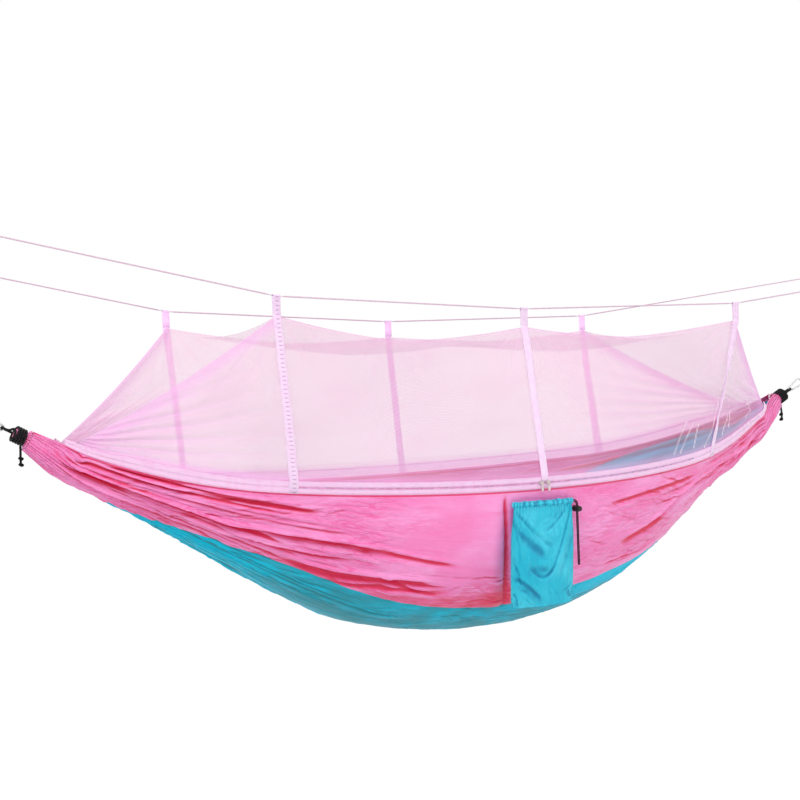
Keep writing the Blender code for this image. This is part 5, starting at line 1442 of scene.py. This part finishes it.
def pouchRelief(across, drop):
    x, y = across * pouch["half"], drop * pouch["height"]
    lift, tone = np.zeros(x.shape), np.zeros(x.shape)
    for xs, ys, depth, width in pouchFolds:
        knots = np.array(smoothPath(list(zip(xs, ys)), 5)) * np.array([pouch["half"], pouch["height"]])
        distance, along = lineDistance(x, y, knots)
        window = smoothStep(along, -0.02, 0.2) * (1 - smoothStep(along, 0.75, 1.02))
        valley = hump(np.where(distance < 0, distance / width * 1.9, distance / width)) * window
        crest = 0.9 * hump(distance + width, 0.55 * width) * window
        crest += 0.6 * hump(distance - 1.9 * width, 0.9 * width) * window
        lift += depth * (0.55 * crest - valley)
        # painted shade in each fold's valley and a painted highlight on its crests
        tone += min(1.0, depth / 0.003) * (0.6 * crest - 0.55 * valley)
    for side, down, long, wide, turn, depth in pouchHollows:
        dx, dy = x - side * pouch["half"], y - down * pouch["height"]
        alongIt = dx * math.cos(turn) + dy * math.sin(turn)
        acrossIt = dy * math.cos(turn) - dx * math.sin(turn)
        spot = np.exp(-(alongIt / long) ** 4 - (acrossIt / wide) ** 2)
        lift -= pouch["hollow"] * depth * spot
        # painted shade in the hollows
        tone -= 0.8 * depth * spot
    gather = np.sin(math.tau * 12 * across + 3 * latticeNoise(across * 4 + 9, drop * 3, 61))
    nearHem = np.exp(-drop / 0.07)
    crinkle = latticeNoise(x / 0.016 + 30, y / 0.013, 62)
    crinkle = crinkle + 0.7 * latticeNoise(x / 0.0055 + 40, y / 0.006, 63)
    corners = 0.35 + np.exp(-((np.abs(across) - 1) / 0.35) ** 2 - ((drop - 1) / 0.25) ** 2)
    lift += pouch["gatherLift"] * nearHem * gather + pouch["crinkle"] * crinkle * corners
    # the gathers and crinkles get painted shade and highlight as well
    tone += 0.7 * nearHem * gather + 0.34 * crinkle * corners
    return lift, np.clip(tone, -1, 1)


def makePouchBody():
    top = pouch["hemHeight"] - pouch["hemRadius"] + pouch["tuck"]

    def place(drop, roundShare):
        turn = math.tau * roundShare
        wide, deep, lean = pouchSection(drop)
        across = np.cos(turn)
        width = wide * signedPower(across, 0.75)
        out = deep * signedPower(np.sin(turn), 0.9)
        lift, tone = pouchRelief(width / pouch["half"], drop)
        out = out + lift * np.where(out > 0, smoothStep(np.sin(turn), 0.0, 0.35), 0.0)
        rounding = 1 - 0.06 * smoothStep(drop, 0.93, 1.0) * np.abs(signedPower(across, 3))
        sag = pouch["sag"] * np.sin(math.pi * (width / pouch["half"] + 1) / 2) * drop
        depth = -(pouch["hemReach"] - lean) + arcInset(pouch["offset"] + width) - out
        height = top - drop * (pouch["height"] + pouch["tuck"] / 2) - sag
        places = np.stack((pouch["offset"] + width * rounding, depth, height), axis=-1)
        tone = tone * np.where(out > 0, 1.0, 0.3)
        return places, {"relief": tone, "crumple": 0.9, "edge": (1 - drop) * pouch["height"]}

    body = clothGrid("pouchBody", 120, 260, place, (0.25, 0.40))
    middle = toWorld((0, 0, -0.4))[2]
    tidyMesh(body, 2e-6, lambda edge: max(vertex.co.z for vertex in edge.verts) < middle)
    thicken(body, pouch["wall"], -1)
    dress(finishPiece(body, "pouchNylon", 60), "pouch_body")
    return body


def makePouchHem():
    def place(ringShare, sectionShare):
        turn, roll = math.tau * ringShare, math.tau * sectionShare
        wide, deep, _ = pouchSection(np.zeros(1))
        station = pouch["offset"] + wide * signedPower(np.cos(turn), 0.8)
        out = deep * signedPower(np.sin(turn), 0.9)
        wander = latticeNoise(ringShare * 40, np.zeros_like(ringShare), 64)
        gather = np.sin(pouch["gathers"] * turn + 2.2 * wander)
        tall = pouch["hemRadius"] * (1.25 + 0.16 * gather * np.sin(roll) ** 2)
        height = pouch["hemHeight"] + 0.0009 * np.cos(12 * turn) + tall * np.sin(roll)
        stitched = hump(np.abs(np.sin(roll)) - 0.62, 0.10)
        swell = (pouch["hemRadius"] * (0.80 + 0.16 * gather) - 0.0006 * stitched) * np.cos(roll)
        depth = -pouch["hemReach"] + arcInset(station) - out - swell * np.sin(turn)
        places = np.stack((station + swell * np.cos(turn), depth, height), axis=-1)
        # painted shade and highlight on the gathers, and painted shade in the stitched groove
        tone = np.clip(0.75 * gather - 0.8 * stitched, -1, 1)
        return places, {"relief": tone, "crumple": 0.3, "edge": 1.0}

    hem = clothGrid("pouchHem", 420, 20, place, (0.40, 0.033))
    tidyMesh(hem, 2e-6)
    dress(finishPiece(hem, "pouchNylon"), "pouch_hem")


pouchBody = makePouchBody()
makePouchHem()
print("pouch made")


# the cord lock's spring, which the plunger squeezes
springLook = {"node": "cord_lock_spring", "curls": 4, "wire": 0.0007, "travel": 0.0025}


def makeLockSpring():
    low, high = (np.array(corner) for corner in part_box(springLook["node"]))
    wire, middle = springLook["wire"] / 2, (low + high) / 2
    radius, length = (high - low)[0] / 2 - wire, (high - low)[1]
    steps = turnSteps * springLook["curls"]
    coil = []
    for step in range(steps + 1):
        turn = math.tau * step / turnSteps
        along = blendTo(low[1] + wire, high[1] - wire, step / steps)
        coil.append((middle[0] + radius * math.cos(turn), along, middle[2] + radius * math.sin(turn)))
    spring = tubeMesh("lockSpring", coil, wire, "platedSteel", 8)
    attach(spring, "cord_lock")
    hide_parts(springLook["node"])
    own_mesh(spring)


makeLockSpring()
print("spring made")


# finishes of the CAD nodes that stay
nodeFinishes = {
    "platedSteel": (
        "carabiner_left", "carabiner_right", "carabiner_gate_left", "carabiner_gate_right", "gate_pin_left",
        "gate_pin_right", "gate_spring_left", "gate_spring_right",
    ),
    "zipMetal": ("zip_slider_left", "zip_slider_right", "zip_pull_left", "zip_pull_right"),
    "zipTeeth": ("zip_stop_left", "zip_stop_right"),
    "blackPlastic": ("cord_lock_barrel", "cord_lock_plunger"),
}
for finish, names in nodeFinishes.items():
    for name in names:
        for holder in bpy.data.objects[name].material_slots:
            holder.material = materials[finish]
print("finishes given")
